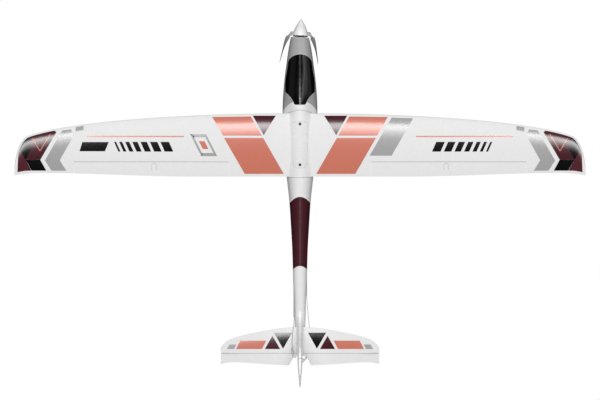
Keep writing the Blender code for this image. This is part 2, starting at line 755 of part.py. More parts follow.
def aileron_linkage(side):
    name = "left_aileron" if side < 0 else "right_aileron"
    inner, outer = aileron_hinge(side)
    axis = (outer - inner).normalized()
    up = Vector((-axis.z, 0, axis.x)) * side
    hinge = inner + axis * ((AILERON_LINK_X - AILERON_IN) / abs(axis.x))
    floor = wing_height(AILERON_LINK_X, AILERON_SERVO_Y, -1)
    shaft = Vector((side * AILERON_LINK_X, AILERON_SERVO_Y, floor + 0.0068))

    hinge_empty = empty(name + "_hinge_axis", Matrix.Translation(hinge))
    arm_empty = empty(name + "_servo_axis", Matrix.Translation(shaft))
    hole, pin = shaft - AILERON_ARM * up, hinge - AILERON_ARM * up
    link_empty = empty(name + "_link_axis", Matrix.Translation(hole), arm_empty)

    servo(name + "_servo", frame_at(shaft, (0, 1, 0), axis))
    arm_place = frame_at(shaft, -up, axis)
    servo_arm(name + "_servo_arm", arm_place, AILERON_ARM, arm_empty)

    aft = (pin - hole).normalized()
    clevis(name + "_clevis", frame_at(pin, axis, aft.cross(axis)), link_empty)
    start, end = hole + 0.0070 * aft + 0.0028 * axis, pin - 0.0090 * aft
    bend = [start, hole + 0.0130 * aft + 0.0016 * axis, hole + 0.0190 * aft, end]
    rod_wire(name + "_pushrod", hole, axis, bend, link_empty)

    horn = aileron_horn(name + "_horn", side, hinge, pin)
    horn.parent = hinge_empty
    horn.matrix_parent_inverse = hinge_empty.matrix_world.inverted()
    low, high = sorted((side * (AILERON_LINK_X - 0.0300), side * (AILERON_LINK_X + 0.0034)))
    rear, front = AILERON_SERVO_Y - 0.0110, AILERON_SERVO_Y + 0.0218
    pocket = box((low, rear, 0.05), (high, front, shaft.z + 0.0078))
    return solid(name + "_servo_pocket", *pocket), hinge_empty


def aileron_horn(name, side, hinge, pin):
    """Base plate under the aileron and an ear that holds the clevis pin below the hinge line."""
    x = side * AILERON_LINK_X
    ys = spread(hinge.y - 0.0070, hinge.y - 0.0210, 4)
    base = strip(
        ys, lambda y: 0.0055,
        lambda a, y: wing_height(a, y, -1) - GAP, lambda a, y: wing_height(a, y, -1) - 0.0018,
        columns=2, centre=x,
    )
    horn = solid(name, *base, "white_plastic")
    foot = wing_height(AILERON_LINK_X, hinge.y - 0.007, -1) - 0.0010
    tail = wing_height(AILERON_LINK_X, hinge.y - 0.020, -1) - 0.0010
    outline = [(hinge.y - 0.0205, tail), (hinge.y - 0.0072, foot), (pin.y - 0.0024, pin.z + 0.0012)]
    outline += circle(0.0024, 8, (pin.y, pin.z), math.radians(130), math.radians(-215))
    ear, hole = horn_ear(name + "_ear", outline, (pin.y, pin.z), "X", pin.x)
    return cut(add(horn, ear), hole)


# ---------------------------------------------------------------- tail
def tail_solid(name, colour=None):
    xs = [0.0, 0.060, 0.110, 0.150, 0.180, 0.198, 0.2075, 0.2115, TAIL_HALF_SPAN]
    loops = []
    for x in [-v for v in reversed(xs[1:])] + xs:
        le, te = tail_leading_edge(x), tail_trailing_edge(x)
        ys = [le - (le - te) * c for c in cosine_steps(8)]
        upper = [(x, y, tail_height(x, y, 1)) for y in reversed(ys)]
        lower = [(x, y, tail_height(x, y, -1)) for y in ys[1:]]
        loops.append(upper + lower)
    return solid(name, *loft(loops), colour)


def elevator_hinge():
    z = tail_height(0.0, ELEVATOR_HINGE_Y, 1) - HINGE_DEPTH
    return [Vector((x, ELEVATOR_HINGE_Y, z)) for x in (-TAIL_HALF_SPAN, TAIL_HALF_SPAN)]


def tailplane():
    ends = elevator_hinge()
    reach = TAIL_HALF_SPAN + 0.01
    stabilizer = tail_solid("horizontal_stabilizer", "white_foam")
    cut(stabilizer, hinge_block("elevator_bay", bay_outline(), ends, -reach, reach))
    cut(stabilizer, solid("fin_tongue_slot", *box((-0.0031, -0.3855, 0.05), (0.0031, -0.3445, 0.09))))
    elevator = tail_solid("elevator", "white_foam")
    boolean(elevator, hinge_block("elevator_block", surface_outline(), ends, -reach, reach), "INTERSECT")
    front, bridge = RUDDER_HINGE_Y + 0.0015, RUDDER_HINGE_Y - 0.0006
    right = [(0.0090, front), (0.0105, bridge), (0.0177, bridge), (0.0337, -0.4454)]
    left = [(-0.0340, -0.4454), (-0.0177, bridge - 0.0024), (-0.0105, bridge - 0.0052), (-0.0090, front)]
    notch = right + left
    cut(elevator, solid("rudder_notch", *prism(notch, "Z", 0.04, 0.11)))
    return elevator


def fin_loops(name, colour=None):
    zs = [RUDDER_FOOT, 0.0500, 0.0600, FIN_BASE, 0.0830, 0.0950, 0.1150, 0.1400, 0.1700, 0.1950]
    loops = []
    for z in zs + [0.2150, 0.2250, 0.2310, 0.2345, FIN_TOP]:
        le, te, thick = fin_section(z)
        chord = le - te
        shares = cosine_steps(8)
        sides = [thick / 2 * half_thickness(c, 1.0, 0.0018 / thick * 1.0) / 0.5 for c in shares]
        right = [(w, le - chord * c, z) for c, w in zip(shares, sides)]
        left = [(-w, y, z) for w, y, _ in reversed(right)][:-1]
        loops.append(right + left)
    return solid(name, *loft(loops), colour)


def fin_and_rudder():
    fin = fin_loops("vertical_fin", "white_foam")
    step = 0.0135  # room above the elevator's middle bridge
    foot_rear = TAIL_SEAT_FRONT + 0.0003
    over_hinge, rear = ELEVATOR_HINGE_Y + 0.0030, RUDDER_HINGE_Y + 0.0004
    side_view = [(-0.25, 0.0660), (foot_rear, 0.0660), (foot_rear, FIN_BASE), (over_hinge, FIN_BASE)]
    side_view += [(over_hinge, FIN_BASE + step / 2), (rear, FIN_BASE + step), (rear, 0.25), (-0.25, 0.25)]
    boolean(fin, solid("fin_block", *prism(side_view, "X", -0.02, 0.02)), "INTERSECT")
    loops = []
    for y in (-0.2604, -0.3000, TAIL_SEAT_FRONT):
        half = [hull_point(y, a, -2 * GAP) for a in section_angles(y)]
        loops.append([(p.x, p.y, p.z) for p in half] + [(-p.x, p.y, p.z) for p in reversed(half[1:-1])])
    cut(fin, solid("boom_under_fin", *loft(loops)))
    add(fin, solid("fin_tongue", *box((-0.0028, -0.3850, 0.0560), (0.0028, -0.3450, FIN_BASE + 0.004))))

    rudder = fin_loops("rudder", "white_foam")
    nose = RUDDER_HINGE_Y - 0.0003
    shoulder = nose - 0.015 * BEVEL
    plan = [(0.0, nose), (-0.015, shoulder), (-0.015, -0.52), (0.015, -0.52), (0.015, shoulder)]
    boolean(rudder, solid("rudder_block", *prism(plan, "Z", 0.02, 0.26)), "INTERSECT")
    return rudder


ELEVATOR_SHAFT_Y, ELEVATOR_ROD_Z = 0.1350, TRAY_TOP + GAP + 0.0171
LEFT_TUBE_END = Vector((-0.0155, -0.3060, 0.0716))
RIGHT_TUBE_END = Vector((0.0175, -0.2500, 0.0575))
RIGHT_TUBE_INSET = Vector((-0.0008, 0.0, 0.0))  # the rudder's wire swings inboard at both ends of its throw
LEFT_TUBE_START_Y, RIGHT_TUBE_START_Y = 0.1000, 0.0500
RUDDER_SHAFT_Y, RUDDER_ROD_Z = 0.0800, TRAY_TOP + GAP + 0.0290


def on_line(a, b, y):
    """The point of the line through a and b at station y."""
    a, b = Vector(a), Vector(b)
    return a + (b - a) * ((y - a.y) / (b.y - a.y))


def elevator_linkage(hinge_empty):
    """Horn on top of the elevator's left half, wire in a guide tube, servo on its side in the cabin."""
    hinge = Vector((ELEVATOR_LINK_X, ELEVATOR_HINGE_Y, elevator_hinge()[0].z))
    front = Vector((LEFT_TUBE_END.x, ELEVATOR_SHAFT_Y, ELEVATOR_ROD_Z))
    line = (front - LEFT_TUBE_END).normalized()
    lean = Vector((0, -line.z, line.y)).normalized()  # arm and horn stand square to the guide tube
    pin, hole = hinge + ELEVATOR_ARM * lean, front
    shaft = hole - ELEVATOR_ARM * lean

    arm_empty = empty("elevator_servo_axis", Matrix.Translation(shaft))
    link_empty = empty("elevator_link_axis", Matrix.Translation(hole), arm_empty)
    servo("elevator_servo", frame_at(shaft, (0, 1, 0), (-1, 0, 0)))
    servo_arm("elevator_servo_arm", frame_at(shaft, lean, (-1, 0, 0)), ELEVATOR_ARM, arm_empty)

    tube_start = on_line(front, LEFT_TUBE_END, LEFT_TUBE_START_Y)
    tube_curve("elevator_guide_tube", [tube_start, LEFT_TUBE_END], TUBE_OUTER, "grey_plastic", TUBE_INNER)
    outside = Vector((-0.0215, -0.3720, pin.z - 0.0035))
    rear = (outside - pin).normalized()
    side = Vector((1, 0, 0)) - rear * rear.x
    place = frame_at(pin, side, side.cross(rear))
    clevis("elevator_clevis", place, link_empty)
    route = [on_line(front, LEFT_TUBE_END, y) for y in (front.y - 0.0080, 0.0, -0.1500, -0.3050)]
    route[0] = route[0] + Vector((0.0028, 0, 0))
    route.insert(1, on_line(front, LEFT_TUBE_END, front.y - 0.0250))
    route += [LEFT_TUBE_END + Vector((-0.0010, -0.0140, 0.0020)), Vector((-0.0197, -0.3500, 0.0790)), outside]
    rod_wire("elevator_pushrod", hole, (1, 0, 0), route + [pin + 0.0090 * rear], link_empty)

    def top(x, y):
        return tail_height(x, y, 1)

    ys = spread(hinge.y - 0.0042, hinge.y - 0.0150, 4)
    base = strip(
        ys, lambda y: 0.0040, lambda x, y: top(x, y) + 0.0018, lambda x, y: top(x, y) + GAP,
        columns=2, centre=ELEVATOR_LINK_X - 0.0030,
    )
    horn = solid("elevator_horn", *base, "white_plastic")
    outline = [(hinge.y - 0.0145, top(0.02, hinge.y - 0.0145) + 0.0010), (pin.y - 0.0030, pin.z + 0.0012)]
    outline += circle(0.0023, 7, (pin.y, pin.z), math.radians(150), math.radians(-190))
    outline += [(hinge.y - 0.0020, hinge.z + 0.0050)]
    outline += [(hinge.y - 0.0045, top(0.02, hinge.y - 0.0045) + 0.0010)]
    ear, hole_tool = horn_ear("elevator_horn_ear", outline, (pin.y, pin.z), "X", pin.x)
    cut(add(horn, ear), hole_tool)
    horn.parent = hinge_empty
    horn.matrix_parent_inverse = hinge_empty.matrix_world.inverted()


def rudder_linkage(hinge_empty):
    """Horn on the rudder's right side under the tailplane, wire in a guide tube, upright servo."""
    hinge = Vector((0.0, RUDDER_HINGE_Y, RUDDER_LINK_Z))
    pin = hinge + Vector((RUDDER_ARM, 0, 0))
    hole = Vector((RIGHT_TUBE_END.x, RUDDER_SHAFT_Y, RUDDER_ROD_Z))
    shaft = hole - Vector((RUDDER_ARM, 0, 0))

    arm_empty = empty("rudder_servo_axis", Matrix.Translation(shaft))
    link_empty = empty("rudder_link_axis", Matrix.Translation(hole), arm_empty)
    servo("rudder_servo", frame_at(shaft, (0, 1, 0), (0, 0, 1)))
    servo_arm("rudder_servo_arm", frame_at(shaft, (1, 0, 0), (0, 0, 1)), RUDDER_ARM, arm_empty)

    start = on_line(hole, RIGHT_TUBE_END, RIGHT_TUBE_START_Y)
    ends = [start + RIGHT_TUBE_INSET, RIGHT_TUBE_END + RIGHT_TUBE_INSET]
    tube_curve("rudder_guide_tube", ends, TUBE_OUTER, "grey_plastic", TUBE_INNER)
    elbow = Vector((0.0205, -0.3760, 0.0595))
    forward = (elbow - pin).normalized()
    clevis("rudder_clevis", frame_at(pin, (0, 0, 1), Vector((0, 0, 1)).cross(forward)), link_empty)
    route = [on_line(hole, RIGHT_TUBE_END, y) for y in (hole.y - 0.0080, hole.y - 0.0220, -0.0600, -0.2490)]
    route[0] = route[0] + Vector((0, 0, 0.0028))
    route += [Vector((0.0188, -0.2680, 0.0580)), Vector((0.0250, -0.3340, 0.0590))]
    route.append(Vector((0.0250, -0.3500, 0.0592)))
    rod_wire("rudder_pushrod", hole, (0, 0, 1), route + [elbow, pin + 0.0090 * forward], link_empty)

    side, rear, front = 0.0068, hinge.y - 0.0190, hinge.y - 0.0068
    base = box((side, rear, hinge.z - 0.0045), (side + 0.0016, front, hinge.z + 0.0045))
    horn = solid("rudder_horn", *base, "white_plastic")
    outline = [(side + 0.0004, rear + 0.0005), (side + 0.0004, front - 0.0004), (0.0145, front + 0.0018)]
    outline += circle(0.0023, 8, (pin.x, pin.y), math.radians(190), math.radians(-215))
    outline.append((pin.x, front - 0.0007))
    ear, hole_tool = horn_ear("rudder_horn_ear", outline, (pin.x, pin.y), "Z", hinge.z)
    cut(add(horn, ear), hole_tool)
    horn.parent = hinge_empty
    horn.matrix_parent_inverse = hinge_empty.matrix_world.inverted()


def guide_channels():
    """Grooves through the fuselage walls for the guide tubes and the wires behind them."""
    front = Vector((LEFT_TUBE_END.x, ELEVATOR_SHAFT_Y, ELEVATOR_ROD_Z))
    left = [on_line(front, LEFT_TUBE_END, y) for y in (0.1200, -0.2900)]
    hole = Vector((RIGHT_TUBE_END.x, RUDDER_SHAFT_Y, RUDDER_ROD_Z))
    right = [on_line(hole, RIGHT_TUBE_END, y) + RIGHT_TUBE_INSET for y in (0.0700, -0.2850)]
    radius = TUBE_OUTER + 0.00045
    return [tube_curve("left_channel", left, radius, None), tube_curve("right_channel", right, radius, None)]


# ---------------------------------------------------------------- drive
def blade(name, side, rotor, colour):
    """A folding blade, modelled straight out from its pin and then swung to its folded place."""
    shares = [0.070, 0.115, 0.155, 0.20, 0.30, 0.44, 0.60, 0.76, 0.89, 0.965, 1.0]
    loops = []
    for t in shares:
        chord = 0.0080 + 0.0125 * smooth((t - 0.07) / 0.11) - 0.0100 * max(0.0, (t - 0.3) / 0.7) ** 1.6
        chord *= math.sqrt(max(0.0, 1 - max(0.0, (t - 0.80) / 0.203) ** 2.0))
        thick = 0.0046 - 0.0037 * smooth(t / 0.55)
        twist = math.radians(8.0 + 42.0 * (1 - t) ** 2.6) * smooth((t - 0.02) / 0.14)
        bow = BLADE_BOW * math.sin(math.pi * t**0.62)
        loop = []
        for k in range(10):
            a = 2 * math.pi * k / 10
            c, h = chord / 2 * math.cos(a), thick / 2 * math.sin(a)
            along_z = c * math.cos(twist) - h * math.sin(twist)
            along_y = c * math.sin(twist) + h * math.cos(twist)
            loop.append((t * BLADE_LENGTH, side * along_y + bow, along_z))
        loops.append(loop)
    lean = math.pi / 2 - FOLD_REST
    spot = Vector((side * PIN_X, PIN_Y, 0.0))
    if side > 0:
        turn = Matrix.Rotation(-lean, 4, "Z")
    else:
        turn = Matrix.Rotation(lean, 4, "Z") @ Matrix.Diagonal((-1, 1, 1, 1))
    place = rotor.matrix_world @ Matrix.Translation(spot) @ turn
    axis_empty = empty(name + "_axis", rotor.matrix_world @ Matrix.Translation(spot), rotor)

    def placed(points):
        return [place @ Vector(p) for p in points]

    points, faces = loft(loops)
    item = solid(name, placed(points), faces, colour)
    root = circle(EYE_RADIUS - 0.0004, 10, (0.0, 0.0), math.radians(70), math.radians(220))
    root += [(0.0095, 0.0006), (0.0095, 0.0058)]
    points, faces = prism(root, "Z", -0.0030, 0.0030)
    add(item, solid(name + "_root", placed(points), faces))
    points, faces = cylinder(PIN_RADIUS + 0.0002, "Z", -0.008, 0.008, sides=12)
    cut(item, solid(name + "_bore", placed(points), faces))
    item.parent = axis_empty
    item.matrix_parent_inverse = axis_empty.matrix_world.inverted()
    return item


def on_rotor(name, shape, rotor, colour=None):
    """A shape given in the thrust line's own frame; a coloured one rides on the rotor's empty."""
    points = [rotor.matrix_world @ Vector(p) for p in shape[0]]
    return solid(name, points, shape[1], colour, None, rotor if colour else None)


def spinner_radius_at(y):
    return SPINNER_RADIUS * (1 - (y / SPINNER_LENGTH) ** 1.7)


def propeller(rotor):
    outer = [(spinner_radius_at(y), y) for y in (0.0, 0.005, 0.012, 0.020, 0.028, 0.036, 0.042, 0.0450)]
    inner = [(max(r - 0.0012, 0.0), y - 0.0002) for r, y in outer[:-1] if r > 0.003]
    profile = outer + [(0.0, SPINNER_LENGTH), (0.0, 0.0415)] + inner[::-1]
    profile[-1] = (profile[-1][0], 0.0)
    cone = on_rotor("spinner_cone", turned(profile, 22), rotor, "white_plastic")
    for side in (-1, 1):
        low, high = sorted((side * 0.012, side * 0.030))
        slot = box((low, -0.002, -0.0064), (high, PIN_Y + EYE_RADIUS + 0.0004, 0.0064))
        cut(cone, on_rotor(f"spinner_slot_{'left' if side < 0 else 'right'}", slot, rotor))
    rim = SPINNER_RADIUS - 0.0002
    plate = [(SHAFT_RADIUS + GAP, -0.0020), (rim, -0.0020), (rim, -GAP), (SHAFT_RADIUS + GAP, -GAP)]
    on_rotor("spinner_backplate", turned(plate, 22), rotor, "grey_plastic")

    yoke = on_rotor("prop_yoke", cylinder(0.0058, "Y", 0.0002, 0.0150, sides=18), rotor, "aluminium")
    add(yoke, on_rotor("yoke_bar", box((-0.0215, 0.0016, -0.0048), (0.0215, 0.0096, 0.0048)), rotor))
    for label, low, high in (("upper", 0.0034, 0.0052), ("lower", -0.0052, -0.0034)):
        right = circle(EYE_RADIUS, 9, (PIN_X, PIN_Y), -math.pi / 2, math.pi)
        ears = right + [(-x, y) for x, y in reversed(right)]
        add(yoke, on_rotor(f"yoke_{label}_ears", prism(ears, "Z", low, high), rotor))
    cut(yoke, on_rotor("yoke_bore", cylinder(SHAFT_RADIUS + GAP, "Y", -0.002, 0.013), rotor))
    for side, label in ((-1, "left"), (1, "right")):
        spot = (side * PIN_X, PIN_Y)
        hole = cylinder(PIN_RADIUS + GAP, "Z", -0.01, 0.01, spot, 12)
        room = cylinder(EYE_RADIUS + 0.0006, "Z", -0.0033, 0.0033, spot)
        hole_cutter = on_rotor(f"yoke_{label}_pin_hole", hole, rotor)
        cut(yoke, hole_cutter, on_rotor(f"yoke_{label}_room", room, rotor))
        shank = cylinder(PIN_RADIUS, "Z", -0.0062, 0.0060, spot, 12)
        head = cylinder(0.0026, "Z", 0.0055, 0.0068, spot, 14)
        pin = on_rotor(f"{label}_blade_pin", shank, rotor, "steel")
        add(pin, on_rotor(f"{label}_blade_pin_head", head, rotor))
        blade(f"{label}_propeller_blade", side, rotor, "grey_plastic")


def motor(rotor):
    """Firewall in the nose and the outrunner behind it, all square to the thrust line."""
    fixed = empty("motor_frame", rotor.matrix_world)
    firewall = on_rotor("motor_firewall", cylinder(0.0180, "Y", -0.0130, -0.0100, sides=20), fixed, "plywood")
    cut(firewall, on_rotor("firewall_shaft_hole", cylinder(0.0045, "Y", -0.02, 0.0), fixed))
    for k in range(4):
        a = math.pi / 4 + k * math.pi / 2
        spot = (0.0132 * math.cos(a), 0.0132 * math.sin(a))
        cut(firewall, on_rotor(f"firewall_air_hole_{k}", cylinder(0.0032, "Y", -0.02, 0.0, spot, 8), fixed))
    bore = SHAFT_RADIUS + 0.0002
    stator = [(bore, -0.0133), (0.0100, -0.0133), (0.0130, -0.0160), (0.0130, -0.0175), (0.0118, -0.0175)]
    stator += [(0.0118, -0.0355), (bore, -0.0355)]
    on_rotor("motor_stator", turned(stator), fixed, "copper")
    bell = [(0.0122, -0.0190), (0.0140, -0.0190), (0.0140, -0.0375), (0.0128, -0.0395)]
    bell += [(SHAFT_RADIUS + GAP, -0.0395), (SHAFT_RADIUS + GAP, -0.0362), (0.0122, -0.0362)]
    on_rotor("motor_bell", turned(bell), rotor, "aluminium")
    on_rotor("motor_shaft", cylinder(SHAFT_RADIUS, "Y", -0.0410, 0.0125, sides=14), rotor, "steel")


# ---------------------------------------------------------------- equipment in the cabin
def cabin_half_width(y, z, inset):
    """Half width of the cabin at height z, inside the wall and an extra inset."""
    best = 0.0
    for k in range(1, 60):
        p = hull_point(y, math.pi / 2 + math.pi / 2 * k / 60, wall(y))
        if p.z >= z:
            best = p.x
    return best - inset


def equipment():
    ys = [0.3700, 0.3400, 0.3000, 0.2600, 0.2200, 0.1800, 0.1400, 0.1000, 0.0620]
    tray = strip(
        ys, lambda y: min(0.0230, cabin_half_width(y, TRAY_TOP - TRAY_THICK, 0.0036)),
        lambda x, y: TRAY_TOP, lambda x, y: TRAY_TOP - TRAY_THICK, columns=2,
    )
    solid("equipment_tray", *tray, "plywood")

    battery = rounded_box((-0.0170, 0.2480, TRAY_TOP + 0.0019), (0.0170, 0.3530, TRAY_TOP + 0.0259), 0.0030)
    solid("battery_pack", *battery, "battery_wrap")
    outside, inside = (0.0204, TRAY_TOP + 0.0283), (0.0188, TRAY_TOP + 0.0268)
    ring = [(-outside[0], TRAY_TOP + GAP), (outside[0], TRAY_TOP + GAP), outside, (-outside[0], outside[1])]
    strap = solid("battery_strap", *prism(ring, "Y", 0.2920, 0.3120), "strap_fabric")
    room = [(-inside[0], TRAY_TOP + 0.0014), (inside[0], TRAY_TOP + 0.0014), inside, (-inside[0], inside[1])]
    cut(strap, solid("battery_strap_room", *prism(room, "Y", 0.28, 0.33)))

    controller = rounded_box((-0.0125, 0.3600, 0.0215), (0.0125, 0.3980, 0.0315), 0.0015)
    solid("speed_controller", *controller, "black_plastic")
    receiver = rounded_box((-0.0110, 0.1950, TRAY_TOP + GAP), (0.0110, 0.2320, TRAY_TOP + 0.0135), 0.0012)
    solid("radio_receiver", *receiver, "black_plastic")


def rounded_box(low, high, corner):
    """A box with its four edges along Y rounded."""
    quarter = math.pi / 2
    spots = [(high[0], high[2], 0), (low[0], high[2], 1), (low[0], low[2], 2), (high[0], low[2], 3)]
    outline = []
    for x, z, k in spots:
        centre = (x + corner * (1 if x == low[0] else -1), z + corner * (1 if z == low[2] else -1))
        outline += circle(corner, 5, centre, k * quarter, quarter)
    return prism(outline, "Y", low[1], high[1])


def magnets():
    """One disc under the hatch's rear edge and one that meets it, on an arch in front of the wing."""
    y = 0.2530
    top = along(STATIONS, y, 2) - wall(y) - 0.0012
    solid("canopy_magnet", *cylinder(0.0040, "Z", top - 0.0030, top, (0.0, y)), "steel")
    solid("fuselage_magnet", *cylinder(0.0040, "Z", top - 0.0063, top - 0.0033, (0.0, y)), "steel")

    depth = along(STATIONS, y, 2) - top + 0.0066
    split = angle_at_height(y, parting_height(y))
    crown = [hull_point(y, a, depth) for a in spread(-split, split, 8)]
    foot = [hull_point(y, split + a, wall(y) + 0.0016) for a in (0.04, 0.25, 0.45)]
    inner = [hull_point(y, a, depth + 0.0110) for a in spread(split + 0.35, -split - 0.35, 10)]
    outline = [(p.x, p.z) for p in crown + foot + inner] + [(-p.x, p.z) for p in reversed(foot)]
    solid("magnet_arch", *prism(outline, "Y", y - 0.0016, y + 0.0016), "plywood")


def main():
    for item in list(bpy.data.objects):
        bpy.data.objects.remove(item)

    channels = guide_channels()
    halves = {side: fuselage_half(side) for side in (-1, 1)}
    cut(halves[-1], channels[0])
    cut(halves[1], channels[1])
    canopy_glazing(canopy_hatch())

    fairing, clamp = centre_fairing()
    seats = [wing_seat(where, y) for where, y in WING_SCREWS.items()]
    joiner_bore = tube_curve("joiner_bore", joiner_path(0.002), 0.0043, None, sides=3)
    tube_curve("wing_joiner_rod", joiner_path(), 0.0040, "carbon", sides=3)
    wings = []
    for side in (-1, 1):
        wing, aileron = wing_half(side)
        pocket, hinge_empty = aileron_linkage(side)
        cut(wing, joiner_bore, pocket)
        aileron.parent = hinge_empty
        aileron.matrix_parent_inverse = hinge_empty.matrix_world.inverted()
        wings.append(wing)
    wing_screws([fairing, clamp, *seats, *wings])

    elevator = tailplane()
    hinge_point = (0, ELEVATOR_HINGE_Y, elevator_hinge()[0].z)
    elevator_axis = empty("elevator_hinge_axis", Matrix.Translation(hinge_point))
    elevator.parent = elevator_axis
    elevator.matrix_parent_inverse = elevator_axis.matrix_world.inverted()
    elevator_linkage(elevator_axis)
    rudder = fin_and_rudder()
    rudder_axis = empty("rudder_hinge_axis", Matrix.Translation((0, RUDDER_HINGE_Y, RUDDER_LINK_Z)))
    rudder.parent = rudder_axis
    rudder.matrix_parent_inverse = rudder_axis.matrix_world.inverted()
    rudder_linkage(rudder_axis)

    tilt = Matrix.Rotation(-RIGHT_THRUST, 4, "Z") @ Matrix.Rotation(-DOWN_THRUST, 4, "X")
    rotor = empty("thrust_line", Matrix.Translation(THRUST_POINT) @ tilt)
    propeller(rotor)
    motor(rotor)
    equipment()
    magnets()


main()
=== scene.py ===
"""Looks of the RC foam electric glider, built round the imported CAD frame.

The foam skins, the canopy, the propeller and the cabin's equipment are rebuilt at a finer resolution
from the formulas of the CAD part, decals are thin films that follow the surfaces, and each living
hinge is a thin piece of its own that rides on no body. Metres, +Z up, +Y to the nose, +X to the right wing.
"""

import math

import bmesh
import bpy
from mathutils import Matrix, Vector

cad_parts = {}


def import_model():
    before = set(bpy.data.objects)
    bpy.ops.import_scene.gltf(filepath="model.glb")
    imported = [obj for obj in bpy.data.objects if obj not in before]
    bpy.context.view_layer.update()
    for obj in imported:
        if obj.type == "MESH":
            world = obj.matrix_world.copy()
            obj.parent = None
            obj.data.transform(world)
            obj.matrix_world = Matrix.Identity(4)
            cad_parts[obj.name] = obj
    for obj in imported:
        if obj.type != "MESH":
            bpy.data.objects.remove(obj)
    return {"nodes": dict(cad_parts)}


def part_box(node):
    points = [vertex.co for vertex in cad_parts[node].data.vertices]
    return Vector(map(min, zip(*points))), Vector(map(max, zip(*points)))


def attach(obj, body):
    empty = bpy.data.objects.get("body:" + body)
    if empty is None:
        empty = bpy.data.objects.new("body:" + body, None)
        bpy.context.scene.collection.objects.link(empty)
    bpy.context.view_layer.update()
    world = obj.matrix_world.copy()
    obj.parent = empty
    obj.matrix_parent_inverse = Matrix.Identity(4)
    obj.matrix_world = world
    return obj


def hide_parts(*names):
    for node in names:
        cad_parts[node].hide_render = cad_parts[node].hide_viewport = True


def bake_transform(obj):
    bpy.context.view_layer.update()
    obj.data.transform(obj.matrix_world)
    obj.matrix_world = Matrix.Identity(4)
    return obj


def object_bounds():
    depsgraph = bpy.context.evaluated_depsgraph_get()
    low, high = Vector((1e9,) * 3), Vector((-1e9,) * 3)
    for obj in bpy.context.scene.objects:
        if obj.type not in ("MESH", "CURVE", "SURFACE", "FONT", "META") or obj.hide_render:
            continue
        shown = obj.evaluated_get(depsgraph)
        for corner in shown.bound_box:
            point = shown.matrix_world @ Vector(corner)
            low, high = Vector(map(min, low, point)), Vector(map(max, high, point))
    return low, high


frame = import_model()
cad_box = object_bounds()

# ---------------------------------------------------------------- the CAD part's driving dimensions
HALF_SPAN, GAP = 0.762, 0.0003
ROOT_LE, ROOT_TE, WING_Z = 0.2391, 0.0694, 0.0840
DIHEDRAL, INCIDENCE = math.radians(4.0), math.radians(2.0)
CAMBER, CAMBER_AT = 0.030, 0.40
ROOT_THICKNESS, TIP_THICKNESS = 0.112, 0.095
TE_EDGE = 0.0016
TIP_BEND_X, TIP_RISE = 0.680, 0.016
AILERON_IN, AILERON_OUT, AILERON_HINGE_Y = 0.190, 0.605, 0.1082
AILERON_LINK_X = 0.391

TAIL_HALF_SPAN, TAIL_LE, TAIL_TE = 0.2126, -0.3335, -0.4368
TAIL_Z, TAIL_THICKNESS = 0.0720, 0.075
ELEVATOR_HINGE_Y = -0.4050
FIN_BASE, FIN_TOP, RUDDER_FOOT = 0.0764, 0.2360, 0.0460
FIN_LE, RUDDER_TE, RUDDER_HINGE_Y = -0.2920, -0.4940, -0.4127
HINGE_DEPTH = 0.0010
BEVEL = math.tan(math.radians(30.0))

STATIONS = [  # fuselage: Y, half width, top, bottom
    (0.4434, 0.0245, 0.0685, 0.0195),
    (0.4180, 0.0298, 0.0760, 0.0105),
    (0.3806, 0.0354, 0.0860, 0.0040),
    (0.3272, 0.0421, 0.1010, -0.0015),
    (0.2738, 0.0462, 0.1110, -0.0025),
    (0.2391, 0.0467, 0.1120, -0.0025),
    (0.1500, 0.0430, 0.1080, -0.0025),
    (0.0654, 0.0354, 0.0985, 0.0010),
    (0.0013, 0.0285, 0.0905, 0.0130),
    (-0.0521, 0.0250, 0.0862, 0.0225),
    (-0.1269, 0.0208, 0.0815, 0.0330),
    (-0.2070, 0.0184, 0.0782, 0.0405),
    (-0.2604, 0.0160, 0.0764, 0.0440),
    (-0.3138, 0.0148, 0.0752, 0.0465),
    (-0.4115, 0.0112, 0.0745, 0.0480),
]
NOSE_Y, TAIL_END_Y = STATIONS[0][0], STATIONS[-1][0]
SQUARENESS, WIDEST_AT = 2.1, 0.47
HATCH_FRONT, HATCH_REAR, SADDLE_REAR = 0.4050, 0.2474, 0.0660
TAIL_SEAT_FRONT, SHOULDER_DROP = -0.3329, 0.0095

THRUST_POINT = Vector((0.0010, 0.4482, 0.0440))
RIGHT_THRUST, DOWN_THRUST = math.radians(3.0), math.radians(2.0)
SPINNER_RADIUS, SPINNER_LENGTH = 0.0203, 0.0460
PIN_X, PIN_Y, PIN_RADIUS, EYE_RADIUS = 0.0246, 0.0058, 0.0014, 0.0049
BLADE_LENGTH, BLADE_BOW = 0.0845, 0.0056
FOLD_REST = math.radians(18.8)

# guide tubes: where each meets its servo's wire in the cabin, and where it ends on the boom
LEFT_TUBE = (Vector((-0.0155, 0.1350, 0.0339)), Vector((-0.0155, -0.3060, 0.0716)))
RIGHT_TUBE = (Vector((0.0175, 0.0800, 0.0458)), Vector((0.0175, -0.2500, 0.0575)))
RIGHT_TUBE_INSET = Vector((-0.0008, 0.0, 0.0))
CHANNEL_RADIUS = 0.00255

# ---------------------------------------------------------------- what the looks add
FILM_LIFT, FILM_DEPTH = 0.00024, 0.00025  # a decal's height over the foam, and its edge into it
EDGE_MARGIN = 0.0034  # bare foam between a wingtip's decals and its edge
BEAD_SCALE = 380.0  # foam beads per metre
PLATE_FRONT, PLATE_REAR, PLATE_CORNER = 0.2166, 0.0930, 0.0085
PLATE_LINE_Y = 0.1795  # a moulded line across the clamp plate
TAIL_CORNER = 0.0052  # radius of the canopy's two rear corners
SEAM = 0.00003  # half the joint line between two foam shells that are pressed together
WING_SEAM = 0.0008  # joint lines in front of and behind the wing

